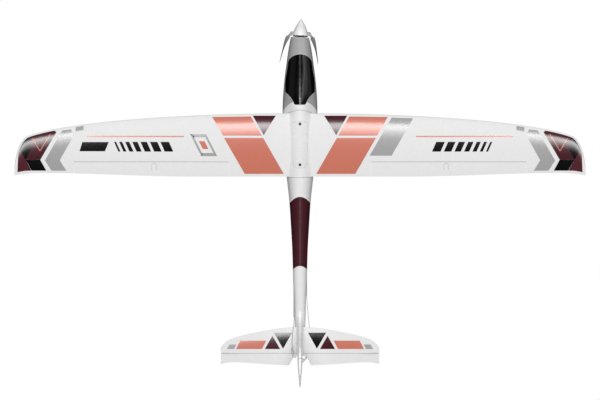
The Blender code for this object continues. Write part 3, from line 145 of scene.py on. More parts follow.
WHITE = (0.845, 0.845, 0.843)
# painted shade: a grey that stands for the shadow in the hinge grooves, round the clamp plate and along the
# horn seat marks
PAINTED_SHADE_GREY = (0.55, 0.55, 0.55)
SALMON = (0.640, 0.197, 0.137)
MAROON = (0.064, 0.012, 0.018)
PALE_MAROON = (0.092, 0.020, 0.029)
FILM_GREY = (0.390, 0.387, 0.389)
NOSE_GREY = (0.395, 0.395, 0.395)
BLACK = (0.004, 0.004, 0.004)

SIDES = {-1: "left", 1: "right"}


# ---------------------------------------------------------------- small maths
def smooth(t):
    t = min(max(t, 0.0), 1.0)
    return t * t * (3.0 - 2.0 * t)


def spread(first, last, steps):
    return [first + (last - first) * i / steps for i in range(steps + 1)]


def refined(values, step):
    """The same values in the same order, with more between them so that none is over step apart."""
    made = []
    for a, b in zip(values, values[1:]):
        n = max(1, math.ceil(abs(b - a) / step - 1e-6))
        made += [a + (b - a) * i / n for i in range(n)]
    return made + [values[-1]]


def along(table, y, column):
    """Value of a station table's column at y: a cubic through the stations, which run aft."""
    y = min(max(y, table[-1][0]), table[0][0])
    i = next(k for k in range(len(table) - 1) if table[k + 1][0] <= y)

    def slope(k):
        a, b = max(k - 1, 0), min(k + 1, len(table) - 1)
        return (table[b][column] - table[a][column]) / (table[b][0] - table[a][0])

    (y0, v0), (y1, v1) = [(table[k][0], table[k][column]) for k in (i, i + 1)]
    h = y1 - y0
    t = (y - y0) / h
    first = (1 + 2 * t) * (1 - t) ** 2 * v0 + t * (1 - t) ** 2 * h * slope(i)
    return first + t * t * (3 - 2 * t) * v1 + t * t * (t - 1) * h * slope(i + 1)


def cosine_steps(n):
    return [0.5 - 0.5 * math.cos(math.pi * i / n) for i in range(n + 1)]


def slowing(first, last, steps):
    """Like spread, with the steps getting smaller towards last, as round a quarter circle."""
    return [first + (last - first) * math.sin(math.pi / 2 * k / steps) for k in range(steps + 1)]


def starting(first, last, steps):
    """Like spread, with the steps smallest at first."""
    return [first + (last - first) * (1 - math.cos(math.pi / 2 * k / steps)) for k in range(steps + 1)]


def circle(radius, n, centre=(0.0, 0.0), start=0.0, turn=2 * math.pi):
    steps = n if turn >= 2 * math.pi else n - 1
    angles = [start + turn * i / steps for i in range(n)]
    return [(centre[0] + radius * math.cos(a), centre[1] + radius * math.sin(a)) for a in angles]


# ---------------------------------------------------------------- surfaces of the aircraft
def leading_edge(x):
    x = min(abs(x), HALF_SPAN)
    ellipse = 0.0881 * (1 - math.sqrt(1 - (x / 0.764) ** 2))
    tip = max(0.0, (x - 0.7265) / 0.0361)
    return ROOT_LE - ellipse - 0.080 * (1 - math.sqrt(max(0.0, 1 - tip**2)))


def trailing_edge(x):
    x = abs(x)
    return ROOT_TE + 0.0094 * smooth((x - 0.294) / 0.387) - 0.0064 * max(0.0, (x - 0.70) / 0.062) ** 2


def half_thickness(c, ratio, edge):
    c = min(max(c, 0.0), 1.0)
    root = 0.2969 * math.sqrt(c) - 0.1260 * c - 0.3516 * c**2 + 0.2843 * c**3 - 0.1036 * c**4
    return 5 * ratio * root + 0.5 * edge * c


def wing_height(x, y, side=1):
    """Height of the wing's upper (side = 1) or lower (side = -1) surface."""
    x = abs(x)
    chord = leading_edge(x) - trailing_edge(x)
    c = min(max((leading_edge(x) - y) / chord, 0.0), 1.0)
    if c < CAMBER_AT:
        line = CAMBER / CAMBER_AT**2 * (2 * CAMBER_AT * c - c**2)
    else:
        line = CAMBER / (1 - CAMBER_AT) ** 2 * (1 - 2 * CAMBER_AT + 2 * CAMBER_AT * c - c**2)
    ratio = ROOT_THICKNESS + (TIP_THICKNESS - ROOT_THICKNESS) * x / HALF_SPAN
    quarter = ROOT_LE - 0.25 * (ROOT_LE - ROOT_TE)
    lift = x * math.tan(DIHEDRAL) + TIP_RISE * max(0.0, (x - TIP_BEND_X) / (HALF_SPAN - TIP_BEND_X)) ** 2
    base = WING_Z + lift + (y - quarter) * math.tan(INCIDENCE)
    return base + chord * (line + side * half_thickness(c, ratio, TE_EDGE / chord))


def tail_leading_edge(x):
    x = min(abs(x), TAIL_HALF_SPAN)
    flat = 0.0046 * math.sin(math.pi * min(x / 0.190, 1.0) ** 1.5)
    return TAIL_LE - flat - 0.0640 * (1 - math.sqrt(1 - (x / 0.2136) ** 2))


def tail_trailing_edge(x):
    x = abs(x)
    return TAIL_TE + 0.0077 * smooth((x - 0.030) / 0.150) - 0.0053 * max(0.0, (x - 0.185) / 0.0275) ** 2


def tail_height(x, y, side=1):
    le, te = tail_leading_edge(x), tail_trailing_edge(x)
    chord = le - te
    return TAIL_Z + side * chord * half_thickness((le - y) / chord, TAIL_THICKNESS, TE_EDGE / chord)


def fin_section(z):
    """(leading edge, trailing edge, thickness) of the fin and rudder at height z."""
    rise = min(max((z - FIN_BASE) / (FIN_TOP - FIN_BASE), 0.0), 1.0)
    le = FIN_LE - 0.095 * rise**0.55
    te = RUDDER_TE + 0.020 * max(0.0, (z - 0.100) / 0.136) ** 2 + 0.026 * max(0.0, (0.076 - z) / 0.030) ** 2
    cap = max(0.0, (rise - 0.88) / 0.12) ** 2
    return le - 0.012 * cap, te + 0.016 * cap, 0.0175 - 0.0085 * rise - 0.004 * cap


def hull_point(y, phi, inset=0.0):
    """Point of the fuselage's section at station y, phi round from the top, inset into the foam."""
    width, top, bottom = (along(STATIONS, y, k) for k in (1, 2, 3))
    middle = bottom + WIDEST_AT * (top - bottom)
    width, top, bottom = width - inset, top - inset, bottom + inset
    power = 2.0 / SQUARENESS
    x = width * abs(math.sin(phi)) ** power * (1 if math.sin(phi) >= 0 else -1)
    reach = abs(math.cos(phi)) ** power
    if math.cos(phi) < 0:
        return Vector((x, y, max(middle - (middle - bottom) * reach, 0.0)))
    share = abs(x) / width
    fall = SHOULDER_DROP * smooth((0.290 - y) / 0.043) * smooth((y - 0.150) / 0.060)
    return Vector((x, y, middle + (top - middle) * reach - fall * math.sin(math.pi * share**2)))


def angle_at_height(y, z):
    """Angle phi at which the upper half of the section passes height z."""
    low, high = 0.0, math.pi / 2
    for _ in range(40):
        mid = (low + high) / 2
        if hull_point(y, mid).z > z:
            low = mid
        else:
            high = mid
    return low


def parting_height(y):
    """Height of the joint line under the hatch and the wing, along the boom and under the tail."""
    under_wing = wing_height(0.034, min(y, ROOT_LE), -1) - 0.0006
    if y > HATCH_REAR:
        share = (HATCH_FRONT - y) / (HATCH_FRONT - HATCH_REAR)
        return 0.0520 + (under_wing - 0.0520) * max(share, 0.0) ** 2.2
    if y > SADDLE_REAR:
        return under_wing
    if y > -0.3970:
        return 0.0676
    return 0.0635


def wall(y):
    return 0.0040 + 0.0020 * smooth((y + 0.05) / 0.12)


def front_arch(x, y):
    """Y of a point near the hatch's rear edge, which curves back to the wing's leading edge."""
    drop = 0.0080 * math.sin(math.pi / 2 * min(abs(x) / 0.042, 1.0)) ** 2
    return y - drop * smooth(1 - abs(y - HATCH_REAR) / 0.018)


def rear_arch(x, y):
    """Y of a point near the rear of the wing's fairing, which bulges aft in the middle."""
    return y + 0.0028 * (x / 0.0354) ** 2 * smooth(1 - abs(y - SADDLE_REAR) / 0.018)


def fairing_half_width(y):
    t = (HATCH_REAR - y) / (HATCH_REAR - SADDLE_REAR)
    return 0.0250 + 0.0054 * abs(2 * t - 1) ** 2.2 + 0.0035 * smooth((y - 0.2360) / 0.0060)


def fairing_top(x, y):
    crown = along(STATIONS, y, 2)
    edge = wing_height(x, y) + 0.0010
    share = min(abs(x) / fairing_half_width(y), 1.0)
    return edge + (crown - edge) * (1 - share**2) ** 1.1


# ---------------------------------------------------------------- mesh building
def tool(name, points, faces):
    """A plain mesh object with its normals out, used to cut another one."""
    mesh = bpy.data.meshes.new(name)
    mesh.from_pydata([tuple(p) for p in points], [], faces)
    work = bmesh.new()
    work.from_mesh(mesh)
    bmesh.ops.remove_doubles(work, verts=work.verts, dist=1e-6)
    bmesh.ops.dissolve_degenerate(work, edges=work.edges, dist=1e-7)
    bmesh.ops.recalc_face_normals(work, faces=work.faces)
    work.to_mesh(mesh)
    work.free()
    item = bpy.data.objects.new(name, mesh)
    bpy.context.scene.collection.objects.link(item)
    return item


def carve(item, *tools, operation="DIFFERENCE"):
    """Cuts, joins or intersects item with each tool, keeps the result and removes the tools."""
    for other in tools:
        step = item.modifiers.new(other.name, "BOOLEAN")
        step.operation, step.object, step.solver = operation, other, "EXACT"
    settled = item.evaluated_get(bpy.context.evaluated_depsgraph_get())
    mesh = bpy.data.meshes.new_from_object(settled)
    item.modifiers.clear()
    item.data = mesh
    for other in tools:
        bpy.data.objects.remove(other)
    return item


def piece(item, finish, body, *replaced, slot=None, sharp=32):
    """Finishes a mesh and lets it ride on a body in place of the CAD nodes that it stands for."""
    item.data.materials.clear()
    item.data.materials.append(finish)
    item.data.shade_smooth()
    item.data.set_sharp_from_angle(angle=math.radians(sharp))
    if body:
        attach(item, body)
    if replaced:
        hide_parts(*replaced)
    return item


def loft(loops, closed=False):
    """Points and faces of a body through equal loops, capped at both ends unless it is closed."""
    n = len(loops[0])
    points = [p for loop in loops for p in loop]
    faces = [] if closed else [tuple(range(n)), tuple(range(len(points) - n, len(points)))]
    for k in range(len(loops) if closed else len(loops) - 1):
        for i in range(n):
            j, m = (i + 1) % n, (k + 1) % len(loops)
            faces.append((k * n + i, k * n + j, m * n + j, m * n + i))
    return points, faces


def prism(outline, axis, low, high):
    def point(a, b, h):
        return {"X": (h, a, b), "Y": (a, h, b), "Z": (a, b, h)}[axis]

    return loft([[point(a, b, h) for a, b in outline] for h in (low, high)])


def box(low, high):
    outline = [(low[0], low[1]), (high[0], low[1]), (high[0], high[1]), (low[0], high[1])]
    return prism(outline, "Z", low[2], high[2])


def cylinder(radius, axis, low, high, centre=(0.0, 0.0), sides=32):
    return prism(circle(radius, sides, centre, math.pi / sides), axis, low, high)


def turned(profile, sides=96):
    """Revolves a closed (radius, Y) profile about the Y axis."""
    points, faces = [], []
    for k in range(sides):
        a = 2 * math.pi * k / sides
        points += [(r * math.cos(a), y, r * math.sin(a)) for r, y in profile]
    n = len(profile)
    for k in range(sides):
        base, other = k * n, (k + 1) % sides * n
        for i in range(n):
            j = (i + 1) % n
            if profile[i][0] > 1e-9 or profile[j][0] > 1e-9:
                faces.append((base + i, base + j, other + j, other + i))
    return points, faces


def shell(outer, inner, keep=lambda i, j: True, closed=False):
    """A skin between two equal grids of points; keep(i, j) says which cells it has.

    In a closed one each row ends on its first point.
    """
    rows, columns = len(outer), len(outer[0])
    points = [p for grid in (outer, inner) for row in grid for p in row]
    half = rows * columns
    faces = []

    def kept(i, j):
        if closed:
            j %= columns - 1
        return 0 <= i < rows - 1 and 0 <= j < columns - 1 and keep(i, j)

    for i in range(rows - 1):
        for j in range(columns - 1):
            if not kept(i, j):
                continue
            corner = i * columns + j
            ring = (corner, corner + 1, corner + columns + 1, corner + columns)
            faces += [ring, tuple(half + k for k in reversed(ring))]
            sides = (((i - 1, j), 0, 1), ((i, j + 1), 1, 2), ((i + 1, j), 2, 3), ((i, j - 1), 3, 0))
            for beside, a, b in sides:
                if not kept(*beside):
                    faces.append((ring[b], ring[a], half + ring[a], half + ring[b]))
    return points, faces


def strip(ys, half_width, top, bottom, columns=24, arch=None):
    """A body between two heights over a strip, half_width(y) to each side; arch(x, y) bends its rows."""
    def grid(height):
        rows = []
        for y in ys:
            row = []
            for share in spread(-1.0, 1.0, columns):
                here = arch(half_width(y) * share, y) if arch else y
                x = half_width(here) * share
                row.append((x, here, height(x, here)))
            rows.append(row)
        return rows

    return shell(grid(top), grid(bottom))


def tube(points, radius, sides=12, closed=False):
    """A round bar that follows points; its section stays square to the path."""
    points = [Vector(p) for p in points]
    n = len(points)
    loops = []
    for i, p in enumerate(points):
        ahead = points[(i + 1) % n] if closed or i < n - 1 else p
        behind = points[i - 1] if closed or i else p
        run = (ahead - behind).normalized()
        side = run.cross(Vector((0, 0, 1)) if abs(run.z) < 0.9 else Vector((1, 0, 0))).normalized()
        up = side.cross(run)
        loops.append([p + side * a + up * b for a, b in circle(radius, sides)])
    return loft(loops, closed)


def follow(item, height, step=0.0004):
    """Gives the faces that lie on height(x, y) that surface's own normals, whatever their shapes."""
    mesh = item.data
    normals = []
    for v in mesh.vertices:
        x, y = v.co.x, v.co.y
        across = height(x - step, y) - height(x + step, y)
        ahead = height(x, y - step) - height(x, y + step)
        normals.append(Vector((across, ahead, 2 * step)).normalized())
    unchanged = Vector()
    corners = [unchanged] * len(mesh.loops)
    for face in mesh.polygons:
        if face.normal.z > 0.3:
            for k in face.loop_indices:
                corners[k] = normals[mesh.loops[k].vertex_index]
    mesh.normals_split_custom_set(corners)


def film(name, outlines, height, finish, body, mirror=1, lift=FILM_LIFT):
    """A thin decal: flat outlines (X, Y), cut into small faces and laid on the surface height(x, y)."""
    work = bmesh.new()
    for outline in outlines:
        work.faces.new([work.verts.new((mirror * x, y, 0.0)) for x, y in outline])
    bmesh.ops.triangulate(work, faces=work.faces[:])
    for normal, step in ((Vector((1, 0, 0)), 0.006), (Vector((0, 1, 0)), 0.0025)):
        spots = [v.co.dot(normal) for v in work.verts]
        for k in range(math.floor(min(spots) / step) + 1, math.ceil(max(spots) / step)):
            geometry = work.verts[:] + work.edges[:] + work.faces[:]
            bmesh.ops.bisect_plane(
                work, geom=geometry, dist=1e-7, plane_co=normal * (k * step), plane_no=normal
            )
    work.verts.index_update()
    flat = [(v.co.x, v.co.y) for v in work.verts]
    rings = [tuple(v.index for v in f.verts) for f in work.faces]
    rim = [(e.verts[0].index, e.verts[1].index) for e in work.edges if e.is_boundary]
    work.free()
    n = len(flat)
    points = [(x, y, height(x, y) + lift) for x, y in flat]
    points += [(x, y, height(x, y) - FILM_DEPTH) for x, y in flat]
    faces = rings + [tuple(n + i for i in reversed(ring)) for ring in rings]
    faces += [(a, b, n + b, n + a) for a, b in rim]
    follow(piece(tool(name, points, faces), finish, body), height)


# ---------------------------------------------------------------- materials
def new_finish(name, roughness, metallic=0.0, coat=0.0, coat_roughness=0.1, specular=0.5, sheen=0.0):
    made = bpy.data.materials.new(name)
    made.use_nodes = True
    values = {
        "Roughness": roughness, "Metallic": metallic, "Coat Weight": coat, "Coat Roughness": coat_roughness,
        "Specular IOR Level": specular, "Sheen Weight": sheen,
    }
    for name_of_input, value in values.items():
        made.node_tree.nodes["Principled BSDF"].inputs[name_of_input].default_value = value
    return made


def node(finish, kind, inputs, output=0, **settings):
    """Adds a node, sets or links its inputs by name or number, and gives back one of its outputs."""
    made = finish.node_tree.nodes.new("ShaderNode" + kind)
    for key, value in settings.items():
        setattr(made, key, value)
    for key, value in inputs.items():
        if isinstance(value, bpy.types.NodeSocket):
            finish.node_tree.links.new(value, made.inputs[key])
        else:
            made.inputs[key].default_value = value
    return made.outputs[output]


def to_shader(finish, **sockets):
    shader = finish.node_tree.nodes["Principled BSDF"]
    for name, value in sockets.items():
        finish.node_tree.links.new(value, shader.inputs[name.replace("_", " ")])


def place_of(finish, scale=(1.0, 1.0, 1.0), turn=(0.0, 0.0, 0.0)):
    """The piece's own coordinates in metres, stretched and turned."""
    spot = node(finish, "TexCoord", {}, "Object")
    return node(finish, "Mapping", {"Vector": spot, "Scale": scale, "Rotation": turn})


def noise(finish, spot, scale, detail=3.0, rough=0.55):
    return node(finish, "TexNoise", {"Vector": spot, "Scale": scale, "Detail": detail, "Roughness": rough})


def maths(finish, operation, a, b=0.0, clamp=False):
    return node(finish, "Math", {0: a, 1: b}, operation=operation, use_clamp=clamp)


def ranged(finish, value, low, high, to_low, to_high):
    inputs = {"Value": value, "From Min": low, "From Max": high, "To Min": to_low, "To Max": to_high}
    return node(finish, "MapRange", inputs)


def blended(finish, factor, a, b):
    """A colour between a and b."""
    made = finish.node_tree.nodes.new("ShaderNodeMix")
    made.data_type = "RGBA"
    for socket, value in ((made.inputs["Factor"], factor), (made.inputs[6], a), (made.inputs[7], b)):
        if isinstance(value, bpy.types.NodeSocket):
            finish.node_tree.links.new(value, socket)
        elif socket.type == "RGBA":
            socket.default_value = (*value, 1.0)
        else:
            socket.default_value = value
    return made.outputs[2]


def bump(finish, height, strength, distance):
    return node(finish, "Bump", {"Height": height, "Strength": strength, "Distance": distance})


def weighted(finish, a, share, b, other):
    """share of a added to other of b."""
    return maths(finish, "ADD", maths(finish, "MULTIPLY", a, share), maths(finish, "MULTIPLY", b, other))


def shade(colour, share):
    return tuple(c * share for c in colour)


def foam_beads(finish, spot):
    """(distance from a bead's middle, the bead's own random value)."""
    inputs = {"Vector": spot, "Scale": BEAD_SCALE, "Randomness": 0.9}
    return [node(finish, "TexVoronoi", inputs, output) for output in ("Distance", "Color")]


def foam_colour(finish, spot, colour):
    """Moulded beads: each a little lighter or darker, with a soft mottle over many of them."""
    bead, tone = foam_beads(finish, spot)
    value = node(finish, "SeparateColor", {"Color": tone}, "Red")
    mottle = noise(finish, spot, 55.0, 4.0, 0.6)
    mixed = weighted(finish, value, 0.4, mottle, 0.6)
    tinted = blended(finish, mixed, shade(colour, 0.955), shade(colour, 1.03))
    edge = ranged(finish, bead, 0.35, 0.75, 0.0, 0.22)
    return blended(finish, edge, tinted, shade(colour, 0.86)), bead, mottle


def foam(name, tone):
    made = new_finish(name, 0.6, specular=0.32)
    spot = place_of(made)
    colour, bead, mottle = foam_colour(made, spot, tone)
    height = weighted(made, mottle, 0.5, bead, -1.0)
    to_shader(
        made, Base_Color=colour, Roughness=ranged(made, mottle, 0.2, 0.8, 0.5, 0.68),
        Normal=bump(made, height, 0.25, 0.00012),
    )
    return made


def painted_foam():
    """The fuselage's foam: white, with a grey nose that ends on an arc and a maroon band on the boom."""
    made = new_finish("painted_foam", 0.5, specular=0.36)
    spot = place_of(made)
    colour, bead, mottle = foam_colour(made, spot, WHITE)

    def times(a, b):
        return maths(made, "MULTIPLY", a, b)

    def minus(a, b):
        return maths(made, "SUBTRACT", a, b)

    def above(a, b):
        return maths(made, "GREATER_THAN", a, b)

    x, y = (node(made, "SeparateXYZ", {"Vector": spot}, axis) for axis in "XY")
    square = times(x, x)
    arc_centre, arc_radius = 0.2220, 0.0507
    ahead = minus(y, arc_centre)
    reach = maths(made, "SQRT", maths(made, "ADD", square, times(ahead, ahead)))
    in_nose = times(above(reach, arc_radius), above(ahead, 0.0))
    band_front, band_rear = 0.0150, -0.1704  # where the band's two curved edges cross the middle
    front = minus(band_front, times(square, 21.5))
    rear = minus(band_rear, times(square, 27.0))
    in_band = times(above(front, y), above(y, rear))
    nose = blended(made, mottle, shade(NOSE_GREY, 0.93), shade(NOSE_GREY, 1.06))
    band = blended(made, mottle, shade(MAROON, 0.9), shade(MAROON, 1.15))
    colour = blended(made, in_band, blended(made, in_nose, colour, nose), band)
    coated = maths(made, "ADD", in_nose, in_band, clamp=True)
    height = maths(made, "ADD", minus(times(mottle, 0.5), bead), times(coated, 0.7))
    to_shader(
        made, Base_Color=colour,
        Roughness=ranged(made, coated, 0.0, 1.0, 0.58, 0.36),
        Normal=bump(made, height, 0.22, 0.00012),
    )
    return made


def vinyl(name, colour, roughness=0.22):
    """Printed film: the beads under it show faintly in its gloss."""
    made = new_finish(name, roughness, coat=0.35, coat_roughness=0.16, specular=0.5)
    spot = place_of(made)
    grain = noise(made, spot, 240.0, 3.0, 0.7)
    broad = noise(made, spot, 30.0, 3.0, 0.6)
    bead = foam_beads(made, spot)[0]
    tone = weighted(made, grain, 0.6, broad, 0.4)
    to_shader(
        made, Base_Color=blended(made, tone, shade(colour, 0.95), shade(colour, 1.05)),
        Roughness=ranged(made, grain, 0.2, 0.8, roughness - 0.03, roughness + 0.03),
        Normal=bump(made, bead, 0.02, 0.0001),
    )
    return made


def gloss_black():
    """Tinted canopy: deep gloss with a little haze and dust in it."""
    made = new_finish("gloss_canopy", 0.22, coat=0.5, coat_roughness=0.08, specular=0.5)
    haze = noise(made, place_of(made, (1.0, 0.35, 1.0)), 40.0, 3.0, 0.6)
    to_shader(
        made, Base_Color=blended(made, haze, (0.0016, 0.0016, 0.0017), (0.0042, 0.0042, 0.0045)),
        Roughness=ranged(made, haze, 0.3, 0.75, 0.18, 0.27),
    )
    return made


def plastic(name, colour, roughness=0.35, grain=0.08, coat=0.0):
    """Moulded plastic: a fine spark-eroded texture, a slight mottle and duller patches."""
    made = new_finish(name, roughness, coat=coat)
    spot = place_of(made)
    fine = noise(made, spot, 2600.0, 3.0, 0.6)
    broad = noise(made, spot, 120.0, 4.0, 0.6)
    to_shader(
        made, Base_Color=blended(made, broad, shade(colour, 0.88), shade(colour, 1.08)),
        Roughness=ranged(made, broad, 0.25, 0.75, roughness - 0.07, roughness + 0.1),
        Normal=bump(made, fine, grain, 0.00006),
    )
    return made


def metal(name, colour, roughness=0.3, brush=(1.0, 18.0, 1.0)):
    """Metal with a brushed or drawn grain: noise that is stretched along one axis."""
    made = new_finish(name, roughness, metallic=1.0)
    spot = place_of(made, brush)
    grain = noise(made, spot, 500.0, 5.0, 0.7)
    stain = noise(made, place_of(made), 90.0, 4.0, 0.65)
    to_shader(
        made, Base_Color=blended(made, stain, shade(colour, 0.78), colour),
        Roughness=ranged(made, grain, 0.25, 0.75, roughness - 0.1, roughness + 0.15),
        Normal=bump(made, grain, 0.12, 0.00005),
    )
    return made


def plywood():
    """Birch ply: long grain lines along Y, darker pores and a warm tone."""
    made = new_finish("birch_plywood", 0.6)
    spot = place_of(made, (1.0, 0.07, 1.0))
    lines = noise(made, spot, 260.0, 6.0, 0.65)
    pores = noise(made, place_of(made, (1.0, 0.03, 1.0)), 1400.0, 2.0, 0.5)
    wood = blended(made, ranged(made, lines, 0.35, 0.65, 0.0, 1.0), (0.50, 0.33, 0.17), (0.68, 0.49, 0.29))
    dark = ranged(made, pores, 0.60, 0.72, 0.0, 0.7)
    to_shader(
        made, Base_Color=blended(made, dark, wood, (0.25, 0.14, 0.06)),
        Roughness=ranged(made, lines, 0.3, 0.7, 0.5, 0.72),
        Normal=bump(made, lines, 0.2, 0.0001),
    )
    return made


def woven(name, dark, light, threads, roughness, coat=0.0, sheen=0.0, depth=0.00025):
    """A weave from two crossed waves: used for carbon cloth and for webbing."""
    made = new_finish(name, roughness, coat=coat, sheen=sheen)
    waves = []
    for turn in (math.radians(45), math.radians(-45)):
        wave = {"Vector": place_of(made, turn=(0.0, 0.0, turn)), "Scale": threads}
        waves.append(node(made, "TexWave", {**wave, "Distortion": 0.4, "Detail": 1.0}, "Fac"))
    over = maths(made, "GREATER_THAN", waves[0], waves[1])
    height = maths(made, "MAXIMUM", waves[0], waves[1])
    lint = noise(made, place_of(made), 1500.0, 3.0, 0.7)
    colour = blended(made, over, blended(made, lint, dark, shade(light, 0.8)), light)
    to_shader(
        made, Base_Color=colour, Roughness=ranged(made, height, 0.2, 1.0, roughness + 0.15, roughness),
        Normal=bump(made, height, 0.5, depth),
    )
    return made


def shrink_wrap(name, colour):
    """Heat-shrink film: glossy, with soft wrinkles that run across the pack."""
    made = new_finish(name, 0.28, coat=0.4, coat_roughness=0.12)
    wrinkle = noise(made, place_of(made, (0.35, 1.6, 0.35)), 110.0, 4.0, 0.6)
    scuff = noise(made, place_of(made), 420.0, 5.0, 0.75)
    to_shader(
        made, Base_Color=blended(made, wrinkle, shade(colour, 0.8), shade(colour, 1.12)),
        Roughness=ranged(made, scuff, 0.3, 0.75, 0.2, 0.42),
        Normal=bump(made, wrinkle, 0.3, 0.0006),
    )
    return made


FOAM = foam("moulded_foam", WHITE)
PAINT = painted_foam()
FILMS = {
    "salmon": vinyl("salmon_film", SALMON),
    "maroon": vinyl("maroon_film", MAROON, 0.2),
    "pale_maroon": vinyl("pale_maroon_film", PALE_MAROON, 0.2),
    "grey": vinyl("grey_film", FILM_GREY),
    "black": vinyl("black_film", BLACK, 0.2),
}
CANOPY = gloss_black()
# painted shade: foam greyed to stand for shadow, used for the hinge webs, the line round the clamp plate and
# the horn seat marks
PAINTED_SHADE_FOAM = foam("shadowed_foam", PAINTED_SHADE_GREY)
WHITE_PLASTIC = plastic("white_plastic", (0.88, 0.88, 0.88), 0.34, 0.03)
PLATE_PLASTIC = plastic("plate_plastic", WHITE, 0.5)
GREY_PLASTIC = plastic("grey_plastic", (0.42, 0.42, 0.42), 0.42)
DARK_PLASTIC = plastic("dark_plastic", (0.10, 0.10, 0.10), 0.42)
BLADE_PLASTIC = plastic("blade_plastic", (0.33, 0.33, 0.335), 0.4, 0.08)
BLACK_PLASTIC = plastic("black_plastic", (0.022, 0.022, 0.023), 0.48, 0.15)
SERVO_PLASTIC = plastic("servo_case", (0.020, 0.075, 0.270), 0.32, coat=0.3)
STEEL = metal("drawn_steel", (0.56, 0.56, 0.55), 0.28)
DARK_STEEL = metal("blackened_steel", (0.10, 0.10, 0.10), 0.4)
ALUMINIUM = metal("machined_aluminium", (0.74, 0.74, 0.76), 0.3, (18.0, 1.0, 18.0))
COPPER = metal("copper_windings", (0.72, 0.31, 0.12), 0.35, (1.0, 30.0, 30.0))
WOOD = plywood()
CARBON = woven("carbon_cloth", (0.008, 0.008, 0.009), (0.035, 0.035, 0.037), 95.0, 0.25, coat=0.8)
WEBBING = woven("strap_webbing", (0.006, 0.006, 0.007), (0.030, 0.030, 0.032), 260.0, 0.75, sheen=0.3)
BATTERY_WRAP = shrink_wrap("battery_wrap", (0.42, 0.10, 0.04))
CONTROLLER_WRAP = shrink_wrap("controller_wrap", (0.016, 0.016, 0.018))


# ---------------------------------------------------------------- fuselage
def hull_rows():
    nose = [NOSE_Y, 0.4310, 0.4180, HATCH_FRONT, 0.3806, 0.3272, 0.2738]
    middle = [HATCH_REAR, ROOT_LE, 0.1450, SADDLE_REAR]
    boom = [0.0013, -0.1269, -0.3000, TAIL_SEAT_FRONT, -0.3965, -0.3975, TAIL_END_Y]
    return refined(nose + middle + boom, 0.0060)


UPPER_CELLS, LOWER_CELLS = 12, 26


def section_angles(y):
    split = angle_at_height(y, parting_height(y))
    return spread(0.0, split, UPPER_CELLS)[:-1] + spread(split, math.pi, LOWER_CELLS)


def square_to_thrust(x, y, z):
    """Leans the sections nearest the nose, so that its front face is square to the thrust line."""
    lean = z * math.tan(DOWN_THRUST) - x * math.tan(RIGHT_THRUST) - THRUST_POINT.z * math.tan(DOWN_THRUST)
    return (x, y + lean * smooth((y - 0.4180) / (NOSE_Y - 0.4180)), z)


def channel(side):
    front, rear = LEFT_TUBE if side < 0 else RIGHT_TUBE
    inset = RIGHT_TUBE_INSET if side > 0 else Vector()
    ends = []
    for y in ((0.1200, -0.2900) if side < 0 else (0.0700, -0.2850)):
        ends.append(front + (rear - front) * ((y - front.y) / (rear.y - front.y)) + inset)
    return tool("guide_channel", *tube(ends, CHANNEL_RADIUS, 20))


def fuselage_half(side):
    rows = hull_rows()

    def grid(depth):
        made = []
        for y in rows:
            row = []
            for a in section_angles(y):
                inset = depth * wall(y)
                p = hull_point(rear_arch(hull_point(y, a, inset).x, y), a, inset)
                row.append(square_to_thrust(side * (p.x + SEAM), p.y, p.z))
            made.append(row)
        return made

    def keep(i, j):
        is_open = SADDLE_REAR <= rows[i + 1] and rows[i] <= HATCH_FRONT or rows[i] <= TAIL_SEAT_FRONT
        return j >= UPPER_CELLS or not is_open

    item = tool(f"fuselage_{SIDES[side]}_skin", *shell(grid(0.0), grid(1.0), keep))
    carve(item, channel(side))
    piece(item, PAINT, "airframe", f"fuselage_{SIDES[side]}_shell", slot="white_foam")


def hatch_reach(y):
    """Angle from the top down to the hatch's lower edge."""
    return angle_at_height(y, parting_height(y) + 0.0007)


def glazing_half_width(y):
    front = min(1.0, (0.3970 - y) / 0.030)
    body = 0.0325 + 0.0068 * smooth((0.375 - y) / 0.060)
    half = body * math.sqrt(max(0.0, 1 - (1 - front) ** 2.4))
    tail = min(max((0.2975 - y) / 0.0355, 0.0), 1.0)
    eased = tail**2 / 0.10 if tail < 0.05 else tail - 0.025
    return 0.0160 + (half - 0.0160) * (1 - eased / 0.975) ** 1.8


def canopy():
    """The hatch with the recess that holds its black glazing."""
    rows = refined([HATCH_FRONT - SEAM, 0.3806, 0.3272, 0.2680, HATCH_REAR + WING_SEAM], 0.003)

    def skin(depth):
        made = []
        for y in rows:
            row = []
            for share in spread(-1.0, 1.0, 56):
                inset = depth * wall(y)
                here = front_arch(hull_point(y, share * hatch_reach(y), inset).x, y)
                row.append(hull_point(here, share * hatch_reach(here), inset))
            made.append(row)
        return made

    tail_end = 0.2620
    tail_corner = starting(tail_end, tail_end + TAIL_CORNER, 8)[::-1]
    ys = refined(starting(0.3968, 0.3748, 16)[:-1] + [0.3740, 0.2980] + tail_corner, 0.0022)

    def grid(lift, margin):
        made = []
        for y in ys:
            near_end = max(0.0, 1 - (y - tail_end) / TAIL_CORNER)
            rounding = TAIL_CORNER * (1 - math.sqrt(max(0.0, 1 - near_end**2)))
            half, width = glazing_half_width(y) + margin - rounding, along(STATIONS, y, 1)
            reach = math.asin(min(0.985, half / width) ** (SQUARENESS / 2))
            row = [hull_point(y, a, -lift) for a in spread(-reach, reach, 40)]
            end = (y == ys[0]) - (y == ys[-1])
            made.append([p + Vector((0, end * margin, 0)) for p in row])
        return made

    proud, depth, fit, above = 0.0006, 0.0012, 0.0005, 0.0100
    hatch = tool("canopy_hatch_skin", *shell(skin(0.0), skin(1.0)))
    carve(hatch, tool("canopy_recess", *shell(grid(above, fit), grid(-depth - 0.0006, fit))))
    piece(hatch, PAINT, "canopy", "canopy_hatch", slot="grey_foam")
    glazing = tool("canopy_glazing_skin", *shell(grid(proud, 0.0), grid(-depth, 0.0)))
    piece(glazing, CANOPY, "canopy", "canopy_glazing", slot="black_glazing", sharp=50)


